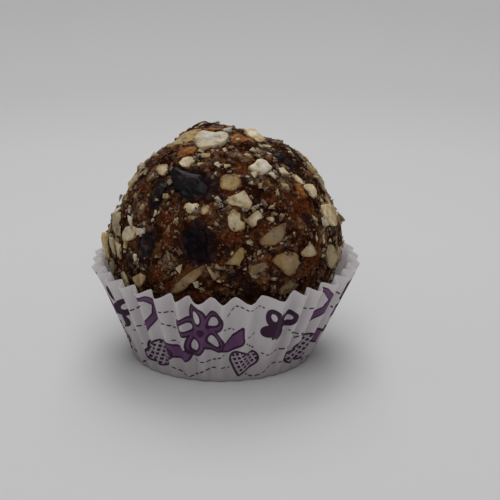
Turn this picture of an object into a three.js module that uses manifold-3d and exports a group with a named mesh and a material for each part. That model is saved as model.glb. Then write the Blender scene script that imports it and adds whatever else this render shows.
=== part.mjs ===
// A date and nut laddu in a fluted paper baking cup, in millimetres, +Z up.
// The origin is the centre of the cup's underside, and the front of the object faces -Y.
// The ball is one solid: pressed date paste with the broken nuts that show fused to it.
// Each raisin as large as a berry is a solid of its own, set in a socket in the paste.
import * as THREE from "three";
import { ConvexGeometry } from "three/addons/geometries/ConvexGeometry.js";
import { mergeVertices } from "three/addons/utils/BufferGeometryUtils.js";
import Module from "manifold-3d";

// Driving dimensions of the cup: a mini baking cup, 34 mm across the base
const BASE_RADIUS = 17.2;
const RIM_RADIUS = 24.95;
const WALL_HEIGHT = 19.0;
const PAPER = 0.4; // wall measured along the radius; the pleats' slope makes it thinner
const FLOOR = 0.4;
const BASE_ROUNDING = 0.45;
const RIM_PLEAT = 1.05; // half the pleats' depth at the rim
const PLEAT_FADE = 0.4; // how fast the pleats flatten towards the base
const RIM_DIP = 0.45; // how far the outer folds dip and the inner folds rise at the rim
const RIM_LEAN = 0.8; // how far the rim's middle is to the right of the base's
const LEFT_PINCH = 0.75; // how far the wall is pressed in on its left, between base and rim
const FOLD_STEPS = 6; // columns of faces for each pleat
const WALL_ROWS = [0.1, 0.34, 0.66, 1];
// Inner folds of the front as degrees round from the front, to the right
const FRONT_FOLDS = [-45, -35, -25, -16, -6, 5, 17, 33, 40, 49, 61, 70];
const PLEATS = 35;
const FOLD_JITTER = 1.6; // degrees, on the folds that are not in the front

// Driving dimensions of the ball
const BALL_RADIUS = 22.0;
const BALL_CENTRE = 22.3; // height
const BALL_RIGHT = 0.5; // how far it sits to the right of the base's middle
const GAP = 0.3; // kept between neighbouring solids
const PASTE_DETAIL = 9; // subdivisions of the icosahedron
const VIEW_TILT = THREE.MathUtils.degToRad(19); // the front view looks down by this much

// Broad swells and flats of the hand-rolled ball: clock angle in degrees from the right,
// seen from the front, how far round towards the viewer, lift in mm and spread in degrees
const SWELLS = [
  [150, 0, -1.35, 19],
  [120, 5, -0.8, 13],
  [101, 0, 1.4, 9],
  [142, 0, 0.6, 6],
  [71, 0, -1.4, 9],
  [45, 0, -0.3, 6],
  [170, 0, 0.3, 6],
  [182, 0, 1.2, 10],
  [3, 0, 0.85, 9],
  [15, -50, -0.7, 22],
  [110, -45, 0.6, 20],
  [200, -55, -0.8, 24],
];
const LUMPS = 70; // small uneven lumps left by the fingers
const LUMP_LIFT = 0.3;
const LUMP_SPREAD = [7.7, 14.3];

// Raisins, the first five as seen from the front: right, up, length, width in mm, turn in degrees
const FRONT_RAISINS = [
  [-6.0, 10.4, 8.6, 6.4, -20],
  [-4.5, -0.9, 6.8, 6.4, 70],
  [-12.2, 8.7, 6.0, 3.2, 80],
  [-14.5, -1.0, 5.6, 4.2, 65],
  [11.8, 15.4, 5.2, 3.6, -35],
];
const BACK_RAISINS = 5;
const BACK_RAISIN_LENGTH = [5.5, 8.2];
const BACK_RAISIN_WIDTH = [4.0, 6.0];
const BACK_RAISINS_APART = 13; // at least, between two middles
const BACK_RAISINS_ABOVE = 19.5; // height of the lowest
const FACING_AWAY = -0.1; // most that a back raisin's direction leans towards the viewer
const RAISIN_DEPTH = 3.6;
const RAISIN_PROUD = 0.45;
const RAISIN_WRINKLE = 0.07; // of the radius
const RAISIN_WRINKLES = 5; // round it
const RAISIN_TWIST = 2; // radians that the wrinkles turn from the middle to an end
const RAISIN_DETAIL = 1; // subdivisions of the icosahedron

// Broken nuts that stand out in the front view: right, up, length, width in mm, turn in degrees
const FRONT_NUTS = [
  [-2.2, 19.4, 6.2, 4.6, -8],
  [-7.2, 19.6, 4.8, 2.4, 28],
  [5.9, 19.9, 4.2, 3.0, -32],
  [7.0, 13.6, 4.3, 2.8, 4],
  [1.8, 11.0, 4.2, 3.1, -8],
  [3.4, 7.3, 4.4, 3.6, 35],
  [2.5, 3.7, 3.8, 3.0, 100],
  [6.2, 4.3, 3.2, 2.2, 25],
  [8.9, 3.9, 1.9, 1.3, -20],
  [9.5, 0.8, 5.8, 2.8, 42],
  [11.8, -4.2, 4.8, 4.0, -20],
  [16.2, -1.7, 2.6, 2.3, 60],
  [19.4, 4.8, 6.6, 3.0, 100],
  [16.2, 9.6, 3.2, 2.1, -60],
  [20.4, -2.4, 4.6, 2.2, 95],
  [2.4, -2.9, 4.2, 1.8, 35],
  [-6.7, -6.7, 7.8, 2.1, 32],
  [-2.1, -5.9, 3.0, 1.4, -62],
  [-15.8, -7.1, 2.6, 2.3, 20],
  [-17.7, 1.5, 3.2, 2.6, 65],
  [-22.0, -1.0, 5.6, 3.2, 88],
  [-18.6, -7.2, 3.2, 2.2, -60],
  [-11.6, 13.5, 2.5, 2.2, 50],
  [-6.4, 14.9, 2.4, 1.9, 10],
  [-5.9, 6.2, 3.0, 1.8, -10],
  [-3.2, 5.5, 2.2, 1.8, 15],
  [11.2, 12.9, 2.8, 2.0, -15],
  [14.0, 11.5, 3.0, 1.6, -35],
  [11.4, 10.1, 2.4, 1.6, -20],
  [6.5, -5.0, 3.6, 2.1, 20],
  [12.0, -8.9, 4.6, 2.4, 10],
  [-3.4, 16.0, 2.8, 1.4, 0],
];
const SCATTERED_NUTS = 70;
const SCATTERED_FACING = 0.25; // most that their directions lean towards the viewer
const NUT_LENGTH = [2.0, 5.0];
const SHORT_NUTS = 1.6; // above 1, short nuts are more common than long ones
const NUT_SLENDERNESS = [0.5, 0.85];
const NUT_THICKNESS = 0.5; // of the nut's width
const NUT_PROUD = 0.45; // of its thickness
const NUT_PROUD_IN_CUP = 0.3; // at most, in mm, where the cup presses the nuts flush
const CUP_REACH = 21; // height up to which the cup does so
const NUT_BOXINESS = 3.2; // 2 would make them round, and more makes them squarer
const NUT_CORNERS = 11;
const NUT_CORNER_REACH = [0.82, 1.04]; // of the boxy outline
const NUT_CORNER_JITTER = 0.9; // radians
const NUTS_ABOVE = 13.5; // the cup hides the ball below this height
const NUTS_APART = 0.42; // of the two lengths together
const NUT_TRIES = 40 * SCATTERED_NUTS;

const OUTLINE_SHARE = 0.995; // of the radius: a piece is seen no farther out than this
const WELD = 1e-4; // points nearer to each other than this are one

const wasm = await Module();
wasm.setup();

// The same sequence of draws every time, from 0 up to 1
const DRAW_FACTOR = 1664525;
const DRAW_STEP = 1013904223;
const DRAW_RANGE = 2 ** 32;
function drawsFrom(seed) {
  let state = seed;
  return () => {
    state = (state * DRAW_FACTOR + DRAW_STEP) % DRAW_RANGE;
    return state / DRAW_RANGE;
  };
}

const between = ([low, high], share) => low + (high - low) * share;

// Directions of the front view, in the part's own axes
const RIGHT = new THREE.Vector3(1, 0, 0);
const UP = new THREE.Vector3(0, Math.sin(VIEW_TILT), Math.cos(VIEW_TILT));
const TOWARDS = new THREE.Vector3(0, -Math.cos(VIEW_TILT), Math.sin(VIEW_TILT));

// The direction from the ball's centre to the point seen at right, up in the front view
function seenAt(right, up) {
  const across = Math.min(Math.hypot(right, up), OUTLINE_SHARE * BALL_RADIUS);
  const depth = Math.sqrt(BALL_RADIUS ** 2 - across ** 2);
  return new THREE.Vector3()
    .addScaledVector(RIGHT, right)
    .addScaledVector(UP, up)
    .addScaledVector(TOWARDS, depth)
    .normalize();
}

function onClock(degrees, towards) {
  const clock = THREE.MathUtils.degToRad(degrees);
  const near = THREE.MathUtils.degToRad(towards);
  return new THREE.Vector3()
    .addScaledVector(RIGHT, Math.cos(clock) * Math.cos(near))
    .addScaledVector(UP, Math.sin(clock) * Math.cos(near))
    .addScaledVector(TOWARDS, Math.sin(near));
}

function anyDirection(draw) {
  const height = 2 * draw() - 1;
  const turn = 2 * Math.PI * draw();
  const across = Math.sqrt(1 - height ** 2);
  return new THREE.Vector3(across * Math.cos(turn), across * Math.sin(turn), height);
}

const swells = SWELLS.map(([clock, towards, lift, spread]) => ({
  at: onClock(clock, towards),
  lift,
  spread: THREE.MathUtils.degToRad(spread),
}));
const drawLump = drawsFrom(11);
for (let i = 0; i < LUMPS; i++) {
  const at = anyDirection(drawLump);
  const lift = LUMP_LIFT * (2 * drawLump() - 1);
  swells.push({ at, lift, spread: THREE.MathUtils.degToRad(between(LUMP_SPREAD, drawLump())) });
}

// How far the paste's surface is from the ball's centre in a direction
function pasteRadius(direction) {
  let radius = BALL_RADIUS;
  for (const { at, lift, spread } of swells) {
    const away = direction.angleTo(at) / spread;
    radius += lift * Math.exp(-(away ** 2));
  }
  return radius;
}

// A frame on the surface: along lies at the turn that the front view shows
function surfaceFrame(direction, turn) {
  const angle = THREE.MathUtils.degToRad(turn);
  const along = new THREE.Vector3()
    .addScaledVector(RIGHT, Math.cos(angle))
    .addScaledVector(UP, Math.sin(angle));
  along.addScaledVector(direction, -along.dot(direction)).normalize();
  const across = new THREE.Vector3().crossVectors(direction, along);
  return new THREE.Matrix4().makeBasis(along, across, direction);
}

function moveVertices(geometry, mover) {
  const place = geometry.getAttribute("position");
  const vertex = new THREE.Vector3();
  for (let i = 0; i < place.count; i++) {
    mover(vertex.fromBufferAttribute(place, i));
    place.setXYZ(i, vertex.x, vertex.y, vertex.z);
  }
  return geometry;
}

function welded(geometry) {
  const bare = geometry.clone();
  bare.deleteAttribute("normal");
  bare.deleteAttribute("uv");
  return mergeVertices(bare, WELD);
}

function asSolid(geometry) {
  const closed = welded(geometry);
  return new wasm.Manifold(
    new wasm.Mesh({
      numProp: 3,
      vertProperties: closed.getAttribute("position").array,
      triVerts: new Uint32Array(closed.index.array),
    }),
  );
}

function asGeometry(solid) {
  const { numProp, numVert, vertProperties, triVerts } = solid.getMesh();
  const corners = new Float32Array(numVert * 3);
  for (let i = 0; i < numVert; i++) {
    corners.set(vertProperties.subarray(i * numProp, i * numProp + 3), i * 3);
  }
  return new THREE.BufferGeometry()
    .setAttribute("position", new THREE.BufferAttribute(corners, 3))
    .setIndex(new THREE.BufferAttribute(triVerts, 1));
}

// The pressed paste, flat where it rests on the cup's floor
function pasteGeometry() {
  const restHeight = FLOOR + GAP - BALL_CENTRE;
  const ball = new THREE.IcosahedronGeometry(1, PASTE_DETAIL);
  return moveVertices(ball, (vertex) => {
    vertex.normalize();
    vertex.multiplyScalar(pasteRadius(vertex));
    vertex.z = Math.max(vertex.z, restHeight);
  });
}

// A broken piece of nut: the hull of uneven corners on a flattened, rather boxy ellipsoid
function nutGeometry(length, width, draw) {
  const goldenTurn = Math.PI * (3 - Math.sqrt(5));
  const corners = [];
  for (let i = 0; i < NUT_CORNERS; i++) {
    const height = 1 - (2 * i + 1) / NUT_CORNERS;
    const across = Math.sqrt(1 - height ** 2);
    const turn = goldenTurn * i + NUT_CORNER_JITTER * draw();
    const corner = new THREE.Vector3(across * Math.cos(turn), across * Math.sin(turn), height);
    const rounded = corner.toArray().map((x) => Math.abs(x) ** NUT_BOXINESS);
    const boxy = (rounded[0] + rounded[1] + rounded[2]) ** (-1 / NUT_BOXINESS);
    corner.multiplyScalar((boxy * between(NUT_CORNER_REACH, draw())) / 2);
    corners.push(corner.multiply(new THREE.Vector3(length, width, NUT_THICKNESS * width)));
  }
  return new ConvexGeometry(corners);
}

// A raisin: a flattened ellipsoid with shallow wrinkles along it
function raisinGeometry(length, width, grow) {
  const body = new THREE.IcosahedronGeometry(1, RAISIN_DETAIL);
  return moveVertices(body, (vertex) => {
    vertex.normalize();
    const round = Math.atan2(vertex.z, vertex.y);
    const wave = Math.cos(RAISIN_WRINKLES * round + RAISIN_TWIST * vertex.x);
    const wrinkle = 1 + RAISIN_WRINKLE * wave;
    vertex.set(
      vertex.x * (length / 2 + grow),
      vertex.y * (width / 2 + grow) * wrinkle,
      vertex.z * (RAISIN_DEPTH / 2 + grow) * wrinkle,
    );
  });
}

const drawRaisin = drawsFrom(23);
const raisins = FRONT_RAISINS.map(([right, up, length, width, turn]) => ({
  direction: seenAt(right, up),
  length,
  width,
  turn,
}));
const clearOf = (direction, others, room) =>
  others.every((other) => direction.angleTo(other.direction) * BALL_RADIUS > room(other));
while (raisins.length < FRONT_RAISINS.length + BACK_RAISINS) {
  const direction = anyDirection(drawRaisin);
  const raisin = {
    direction,
    length: between(BACK_RAISIN_LENGTH, drawRaisin()),
    width: between(BACK_RAISIN_WIDTH, drawRaisin()),
    turn: 180 * drawRaisin(),
  };
  const behind = direction.dot(TOWARDS) < FACING_AWAY;
  const high = BALL_CENTRE + BALL_RADIUS * direction.z > BACK_RAISINS_ABOVE;
  if (behind && high && clearOf(direction, raisins, () => BACK_RAISINS_APART)) raisins.push(raisin);
}
for (const raisin of raisins) {
  raisin.sink = pasteRadius(raisin.direction) + RAISIN_PROUD - RAISIN_DEPTH / 2;
  raisin.frame = surfaceFrame(raisin.direction, raisin.turn);
  raisin.frame.setPosition(raisin.direction.clone().multiplyScalar(raisin.sink));
}

const drawNut = drawsFrom(37);
const nuts = FRONT_NUTS.map(([right, up, length, width, turn]) => ({
  direction: seenAt(right, up),
  length,
  width,
  turn,
}));
for (let tries = 0; tries < NUT_TRIES; tries++) {
  if (nuts.length === FRONT_NUTS.length + SCATTERED_NUTS) break;
  const direction = anyDirection(drawNut);
  const length = between(NUT_LENGTH, drawNut() ** SHORT_NUTS);
  const width = length * between(NUT_SLENDERNESS, drawNut());
  const turn = 180 * drawNut();
  const high = BALL_CENTRE + BALL_RADIUS * direction.z > NUTS_ABOVE;
  const behind = direction.dot(TOWARDS) < SCATTERED_FACING;
  const clear =
    clearOf(direction, nuts, (other) => NUTS_APART * (length + other.length)) &&
    clearOf(direction, raisins, (other) => (length + other.length) / 2);
  if (high && behind && clear) nuts.push({ direction, length, width, turn });
}

function nutSolid({ direction, length, width, turn }) {
  const thickness = NUT_THICKNESS * width;
  const radius = pasteRadius(direction);
  const inCup = BALL_CENTRE + radius * direction.z < CUP_REACH;
  const proud = inCup ? Math.min(NUT_PROUD * thickness, NUT_PROUD_IN_CUP) : NUT_PROUD * thickness;
  const middle = radius + proud - thickness / 2;
  const frame = surfaceFrame(direction, turn);
  frame.setPosition(direction.clone().multiplyScalar(middle));
  return asSolid(nutGeometry(length, width, drawNut).applyMatrix4(frame));
}

function largestOf(solid) {
  const bodies = solid.decompose();
  return bodies.reduce((best, body) => (body.volume() > best.volume() ? body : best));
}

// The paste with its nuts, less a socket round each raisin
function ladduGeometry() {
  const mixture = nuts.reduce((sum, nut) => sum.add(nutSolid(nut)), asSolid(pasteGeometry()));
  const pressed = raisins.reduce((rest, { length, width, frame }) => {
    return rest.subtract(asSolid(raisinGeometry(length, width, GAP).applyMatrix4(frame)));
  }, mixture);
  return asGeometry(largestOf(pressed));
}

// The inner folds all round the cup, as degrees round from the front, to the right
function innerFolds() {
  const draw = drawsFrom(5);
  const first = FRONT_FOLDS[0];
  const last = FRONT_FOLDS[FRONT_FOLDS.length - 1];
  const rest = PLEATS - FRONT_FOLDS.length + 1;
  const step = (first + 360 - last) / rest;
  const folds = [...FRONT_FOLDS];
  for (let i = 1; i < rest; i++) {
    folds.push(last + i * step + FOLD_JITTER * (2 * draw() - 1));
  }
  return folds;
}

// One column for each step of each pleat: its angle and its wave, -1 inside and 1 outside
function pleatColumns() {
  const folds = innerFolds();
  const even = 360 / PLEATS;
  const columns = [];
  folds.forEach((fold, i) => {
    const next = i + 1 < folds.length ? folds[i + 1] : folds[0] + 360;
    const size = Math.sqrt((next - fold) / even);
    for (let j = 0; j < FOLD_STEPS; j++) {
      const share = j / FOLD_STEPS;
      const straight = 1 - 4 * Math.abs(share - 0.5);
      const curved = -Math.cos(2 * Math.PI * share);
      const wave = (straight + curved) / 2;
      columns.push({
        angle: THREE.MathUtils.degToRad(fold + (next - fold) * share),
        wave: wave > 0 ? wave * size : wave,
      });
    }
  });
  return columns;
}

// A ring of the wall: rise runs from 0 at the base to 1 at the rim
function wallRing(columns, rise, inset) {
  return columns.map(({ angle, wave }) => {
    const pleat = RIM_PLEAT * rise ** PLEAT_FADE * wave;
    const leftness = Math.max(0, -Math.sin(angle)) ** 3;
    const pinch = LEFT_PINCH * leftness * (1 - (2 * rise - 1) ** 4);
    const radius = BASE_RADIUS + (RIM_RADIUS - BASE_RADIUS) * rise + pleat - pinch - inset;
    const height = WALL_HEIGHT * rise - RIM_DIP * wave * rise ** 2;
    const right = radius * Math.sin(angle) + RIM_LEAN * rise;
    return new THREE.Vector3(right, -radius * Math.cos(angle), height);
  });
}

function flatRing(columns, radius, height) {
  return columns.map(
    ({ angle }) => new THREE.Vector3(radius * Math.sin(angle), -radius * Math.cos(angle), height),
  );
}

// Closes a stack of equal rings with a point at each end
function closedSkin(start, rings, end) {
  const count = rings[0].length;
  const points = [start, ...rings.flat(), end];
  const last = points.length - 1;
  const faces = [];
  for (let j = 0; j < count; j++) {
    const k = (j + 1) % count;
    faces.push(0, 1 + k, 1 + j);
    for (let i = 0; i + 1 < rings.length; i++) {
      const low = 1 + i * count;
      const high = low + count;
      faces.push(low + j, low + k, high + k, low + j, high + k, high + j);
    }
    const top = last - count;
    faces.push(top + j, top + k, last);
  }
  return new THREE.BufferGeometry().setFromPoints(points).setIndex(faces);
}

function cupGeometry() {
  const columns = pleatColumns();
  const outside = WALL_ROWS.map((rise) => wallRing(columns, rise, 0));
  const inside = WALL_ROWS.map((rise) => wallRing(columns, rise, PAPER)).reverse();
  return closedSkin(
    new THREE.Vector3(0, 0, 0),
    [
      flatRing(columns, BASE_RADIUS - BASE_ROUNDING, 0),
      flatRing(columns, BASE_RADIUS, BASE_ROUNDING),
      ...outside,
      ...inside,
      flatRing(columns, BASE_RADIUS - PAPER - BASE_ROUNDING, FLOOR),
    ],
    new THREE.Vector3(0, 0, FLOOR),
  );
}

function part(name, geometry, colour, roughness) {
  const material = new THREE.MeshStandardMaterial({ color: colour, roughness, metalness: 0 });
  const mesh = new THREE.Mesh(geometry, material);
  mesh.name = name;
  return mesh;
}

const food = new THREE.Group();
food.position.set(BALL_RIGHT, 0, BALL_CENTRE);
food.add(part("laddu", ladduGeometry(), 0x4a2a18, 0.6));
raisins.forEach(({ length, width, frame }, i) => {
  const raisin = part(`raisin_${i + 1}`, raisinGeometry(length, width, 0), 0x120c0e, 0.35);
  raisin.applyMatrix4(frame);
  food.add(raisin);
});

const group = new THREE.Group();
group.add(food);
group.add(part("paper_cup", cupGeometry(), 0xdcd9dc, 0.85));

export default group;
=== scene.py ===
"""The looks of a date and nut laddu in a fluted paper cup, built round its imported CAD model.

Lengths are in millimetres, as in the part's own source, until a mesh, light or camera is made.
The front of the object faces -Y and its right is +X. The front view looks down by VIEW_TILT.
"""

import math

import bmesh
import bpy
import numpy as np
from mathutils import Matrix, Vector, noise


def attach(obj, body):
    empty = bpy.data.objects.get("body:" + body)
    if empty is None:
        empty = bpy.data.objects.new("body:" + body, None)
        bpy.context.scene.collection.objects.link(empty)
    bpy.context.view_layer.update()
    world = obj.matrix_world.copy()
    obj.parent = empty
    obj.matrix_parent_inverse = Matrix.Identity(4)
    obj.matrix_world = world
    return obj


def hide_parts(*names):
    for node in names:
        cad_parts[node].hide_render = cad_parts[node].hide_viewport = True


MM = 0.001

# Where each sequence of random draws starts
SEEDS = {
    "lumps": 11,
    "raisins": 23,
    "nuts": 37,
    "nut tints": 41,
    "nut chips": 53,
    "patches": 61,
    "crumb shapes": 67,
    "crumbs": 71,
    "small nuts": 73,
    "folds": 5,
    "pleats": 13,
    "noise vectors": 17,
}

# The cup, as in the part's source
BASE_RADIUS = 17.2
RIM_RADIUS = 24.95
WALL_HEIGHT = 19.0
BASE_ROUNDING = 0.45
RIM_PLEAT = 1.05
PLEAT_FADE = 0.4
PLEAT_SKEW = 0.05
PLEAT_DEPTH = [0.9, 1.04]
PLEAT_ROUNDNESS = 0.65
RIM_DIP = 0.45
RIM_LEAN = 0.8
LEFT_PINCH = 0.75
FRONT_FOLDS = [-45, -35, -25, -16, -6, 5, 17, 33, 40, 49, 61, 70]
PLEATS = 35
FOLD_JITTER = 1.6
FLOOR = 0.4

# The cup's paper, and how finely it is made: rings on the flat floor as shares of its radius,
# and rises of the wall from 0 at the base to 1 at the rim
PAPER_THICKNESS = 0.11
FOLD_STEPS = 24
UNDERSIDE_RINGS = [0.35, 0.75]
INSIDE_RINGS = [1, 0.5]
CORNER_RISES = [0, 0.004, 0.01, 0.018]
WALL_START = 0.03
WALL_ROWS = 92
INNER_ROWS = 14

# The ball, as in the part's source
BALL_RADIUS = 22.0
BALL_CENTRE = np.array([0.5, 0.0, 22.3])
GAP = 0.3
VIEW_TILT = math.radians(19)
SWELLS = [
    [150, 0, -1.35, 19],
    [120, 5, -0.8, 13],
    [101, 0, 1.4, 9],
    [142, 0, 0.6, 6],
    [71, 0, -1.4, 9],
    [45, 0, -0.3, 6],
    [170, 0, 0.3, 6],
    [182, 0, 1.2, 10],
    [3, 0, 0.85, 9],
    [15, -50, -0.7, 22],
    [110, -45, 0.6, 20],
    [200, -55, -0.8, 24],
]
LUMPS = 70
LUMP_LIFT = 0.3
LUMP_SPREAD = [7.7, 14.3]

# The chopped paste's lumps and smaller bits: size, bend, rise to the middle, difference in lift
PASTE_GRAINS = [(2.2, 1.0, 0.2, 0.08), (1.0, 1.6, 0.1, 0.06)]
# Its uneven waves: size and lift
PASTE_WAVES = [(2.9, 0.26), (0.7, 0.13)]
PASTE_BEND = 0.45
PASTE_BEND_SIZE = 1.4
PASTE_SINK = 0.12
DOME_REACH = 0.6
CELL_SPREAD = 97.0  # tells the cells of a pattern apart
PASTE_STEPS = 112
FINER_TOP = 0.35
PASTE_PARTS = 12
SMOOTHED = 0.6
ORANGE_RISE = 0.14
SOCKET_DEPTH = 0.7
SOCKET = {"reach": 0.85, "power": 6}
JUICE = {"reach": 1.3, "power": 4}

# Raisins: right, up, length, width, turn in the front view
FRONT_RAISINS = [
    [-6.0, 10.4, 8.6, 6.4, -20],
    [-4.5, -0.9, 6.8, 6.4, 70],
    [-12.2, 8.7, 6.0, 3.2, 80],
    [-14.5, -1.0, 5.6, 4.2, 65],
    [11.8, 15.4, 5.2, 3.6, -35],
]
BACK_RAISINS = 5
BACK_RAISIN_LENGTH = [5.5, 8.2]
BACK_RAISIN_WIDTH = [4.0, 6.0]
BACK_RAISIN_FACING = -0.1
RAISINS_ABOVE = 19.5
RAISINS_APART = 13
RAISIN_DEPTH = 3.6
RAISIN_PROUD = 0.45
RAISIN_BOXINESS = 2.7
PLUMP_RAISINS = [0, 1, 6, 8]
RAISIN_SHEEN = {0: 0.6, 1: 0.2, 6: 0.6, 8: 0.4}
PLAIN_SHEEN = 0.4

# The folds of a raisin's skin: how fast they change along, across and through it, the shift
# from raisin to raisin, their bend, and the lift of large and small ones
FOLD_CHANGE = [0.22, 0.42, 0.42]
FOLD_SHIFT = 7.7
FOLD_BEND = 0.9
FOLD_BEND_CHANGE = 1.3
LARGE_FOLD = 0.38
SMALL_FOLD = 0.13
SMALL_FOLD_CHANGE = 2.4
SMALL_FOLD_SHIFT = 4.1
THIN_RAISIN_FOLDS = 0.5
RAISIN_UNEVENNESS = 0.45
RAISIN_UNEVEN_SIZE = 3.4
RAISIN_SHRINKAGE = 0.28

# Broken nuts: right, up, length, width, turn in the front view, and the tint of each
FRONT_NUTS = [
    [-2.2, 19.4, 6.2, 4.6, -8, "white"],
    [-7.2, 19.6, 4.8, 2.4, 28, "yellow"],
    [5.9, 19.9, 4.2, 3.0, -32, "white"],
    [7.0, 13.6, 4.3, 2.8, 4, "white"],
    [1.8, 11.0, 4.2, 3.1, -8, "yellow"],
    [3.4, 7.3, 4.4, 3.6, 35, "white"],
    [2.5, 3.7, 3.8, 3.0, 100, "white"],
    [6.2, 4.3, 3.2, 2.2, 25, "white"],
    [8.9, 3.9, 1.9, 1.3, -20, "white"],
    [9.5, 0.8, 5.8, 2.8, 42, "grey"],
    [11.8, -4.2, 4.8, 4.0, -20, "beige"],
    [16.2, -1.7, 2.6, 2.3, 60, "cream"],
    [19.4, 4.8, 6.6, 3.0, 100, "white"],
    [16.2, 9.6, 3.2, 2.1, -60, "white"],
    [20.4, -2.4, 4.6, 2.2, 95, "white"],
    [2.4, -2.9, 4.2, 1.8, 35, "yellow"],
    [-6.7, -6.7, 7.8, 2.1, 32, "beige"],
    [-2.1, -5.9, 3.0, 1.4, -62, "grey"],
    [-15.8, -7.1, 2.6, 2.3, 20, "cream"],
    [-17.7, 1.5, 3.2, 2.6, 65, "white"],
    [-22.0, -1.0, 5.6, 3.2, 88, "white"],
    [-18.6, -7.2, 3.2, 2.2, -60, "cream"],
    [-11.6, 13.5, 2.5, 2.2, 50, "cream"],
    [-6.4, 14.9, 2.4, 1.9, 10, "white"],
    [-5.9, 6.2, 3.0, 1.8, -10, "white"],
    [-3.2, 5.5, 2.2, 1.8, 15, "cream"],
    [11.2, 12.9, 2.8, 2.0, -15, "white"],
    [14.0, 11.5, 3.0, 1.6, -35, "white"],
    [11.4, 10.1, 2.4, 1.6, -20, "grey"],
    [6.5, -5.0, 3.6, 2.1, 20, "grey"],
    [12.0, -8.9, 4.6, 2.4, 10, "grey"],
    [-3.4, 16.0, 2.8, 1.4, 0, "grey"],
]
SCATTERED_NUTS = 70
SCATTERED_FACING = 0.25
NUT_LENGTH = [2.0, 5.0]
SHORT_NUTS = 1.6  # above 1, short ones are more common
PALE_NUTS = 1.5  # above 1, pale ones are more common
NUT_SLENDERNESS = [0.5, 0.85]
NUT_THICKNESS = 0.5
NUT_PROUD = 0.45
NUT_PROUD_IN_CUP = 0.3
CUP_REACH = 21
NUTS_ABOVE = 13.5
NUTS_APART = 0.42
NUTS_OFF_RAISINS = 0.5
PLAIN_MOST_PROUD = 0.5
NUT_MOST_PROUD = {0: 1.0, 2: 0.6, 12: 0.7, 13: 0.7, 14: 0.7, 19: 0.7, 20: 0.8, 27: 0.7}
LEAST_FACING = 0.42
LARGE_NUT = 2.2  # length above which a nut has finer facets and a tan halo in the paste
HALO_WIDTH = 0.35
HALO_DEPTH = 0.3

# A broken piece: its corners, how unevenly they fill a rounded box, and its flat faces
CORNERS_AT_LEAST = 5
MORE_CORNERS = 4
CORNER_JITTER = 0.8
CORNER_REACH = [0.74, 1.1]
OUTLINE_BOXINESS = 3.2
CHIP_BOXINESS = 4.5
CORNER_SOFTNESS = 2
CHIP_FACETS = 5
FACET_SLOPE = [0.2, 1.2]
FACET_LEVEL = [0.7, 1.05]
FACET_LOWEST = 0.2
# Its roughness: lift, grain, and shift from nut to nut
NUT_ROUGHNESS = [(0.12, 1.0, 3.1), (0.09, 0.42, 1.7)]

# Where nuts are bare of paste: well inside their rim and above the paste
BARE_RIM = 1.1
PASTE_LINE = 0.22
PASTE_FADE = 0.4
SMALL_NUT_STAIN = 0.12
# How much less paste some nuts carry at their edges, most of all those on the ball's outline
NUT_BARENESS = {
    0: 0.4, 2: 0.2, 3: 0.4, 5: 0.2, 6: 0.2, 7: 0.2, 8: 0.2, 11: 0.2, 12: 0.8, 13: 0.8, 14: 0.6, 18: 0.2,
    19: 0.2, 20: 0.8, 21: 0.6, 23: 0.45, 24: 0.2, 26: 0.3, 27: 0.35, 31: 0.3,
}
# The second tint of some nuts, and the side it is on as a turn in the front view
SECOND_TINTS = {
    0: ("cream", 215),
    1: ("beige", 200),
    3: ("grey", 270),
    4: ("grey", 100),
    5: ("cream", 250),
    6: ("yellow", 20),
    9: ("beige", 200),
    10: ("grey", 10),
    15: ("cream", 200),
    16: ("grey", 230),
}
SECOND_TINT_SHARE = 0.8
SECOND_TINT_START = 0.3
SECOND_TINT_RISE = 2.2
NUT_SHADE = [0.9, 1.1]
# How much lighter or darker than its tint a nut is, in red, green and blue where they differ: partly the
# nut's own tone, partly painted light on nuts at the ball's top and sides and painted shade on nuts low on
# its front
NUT_TONES_AND_PAINTED_LIGHT = {
    0: (0.99, 1.04, 1.2), 2: 1.15, 3: (1.15, 1.2, 1.36), 5: 1.1, 7: 0.85, 9: 0.8, 11: (0.93, 0.95, 1.05),
    12: (1.2, 1.08, 0.86), 13: (1.3, 1.22, 1.05), 14: (1.0, 0.88, 0.7), 15: 0.82, 16: 0.85, 18: 1.3,
    20: (1.35, 1.25, 1.0), 21: 1.5, 22: (1.1, 1.16, 1.4), 23: 1.2, 24: 1.1, 26: 1.15, 27: 1.3, 29: 0.7,
    31: 1.2,
}

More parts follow.
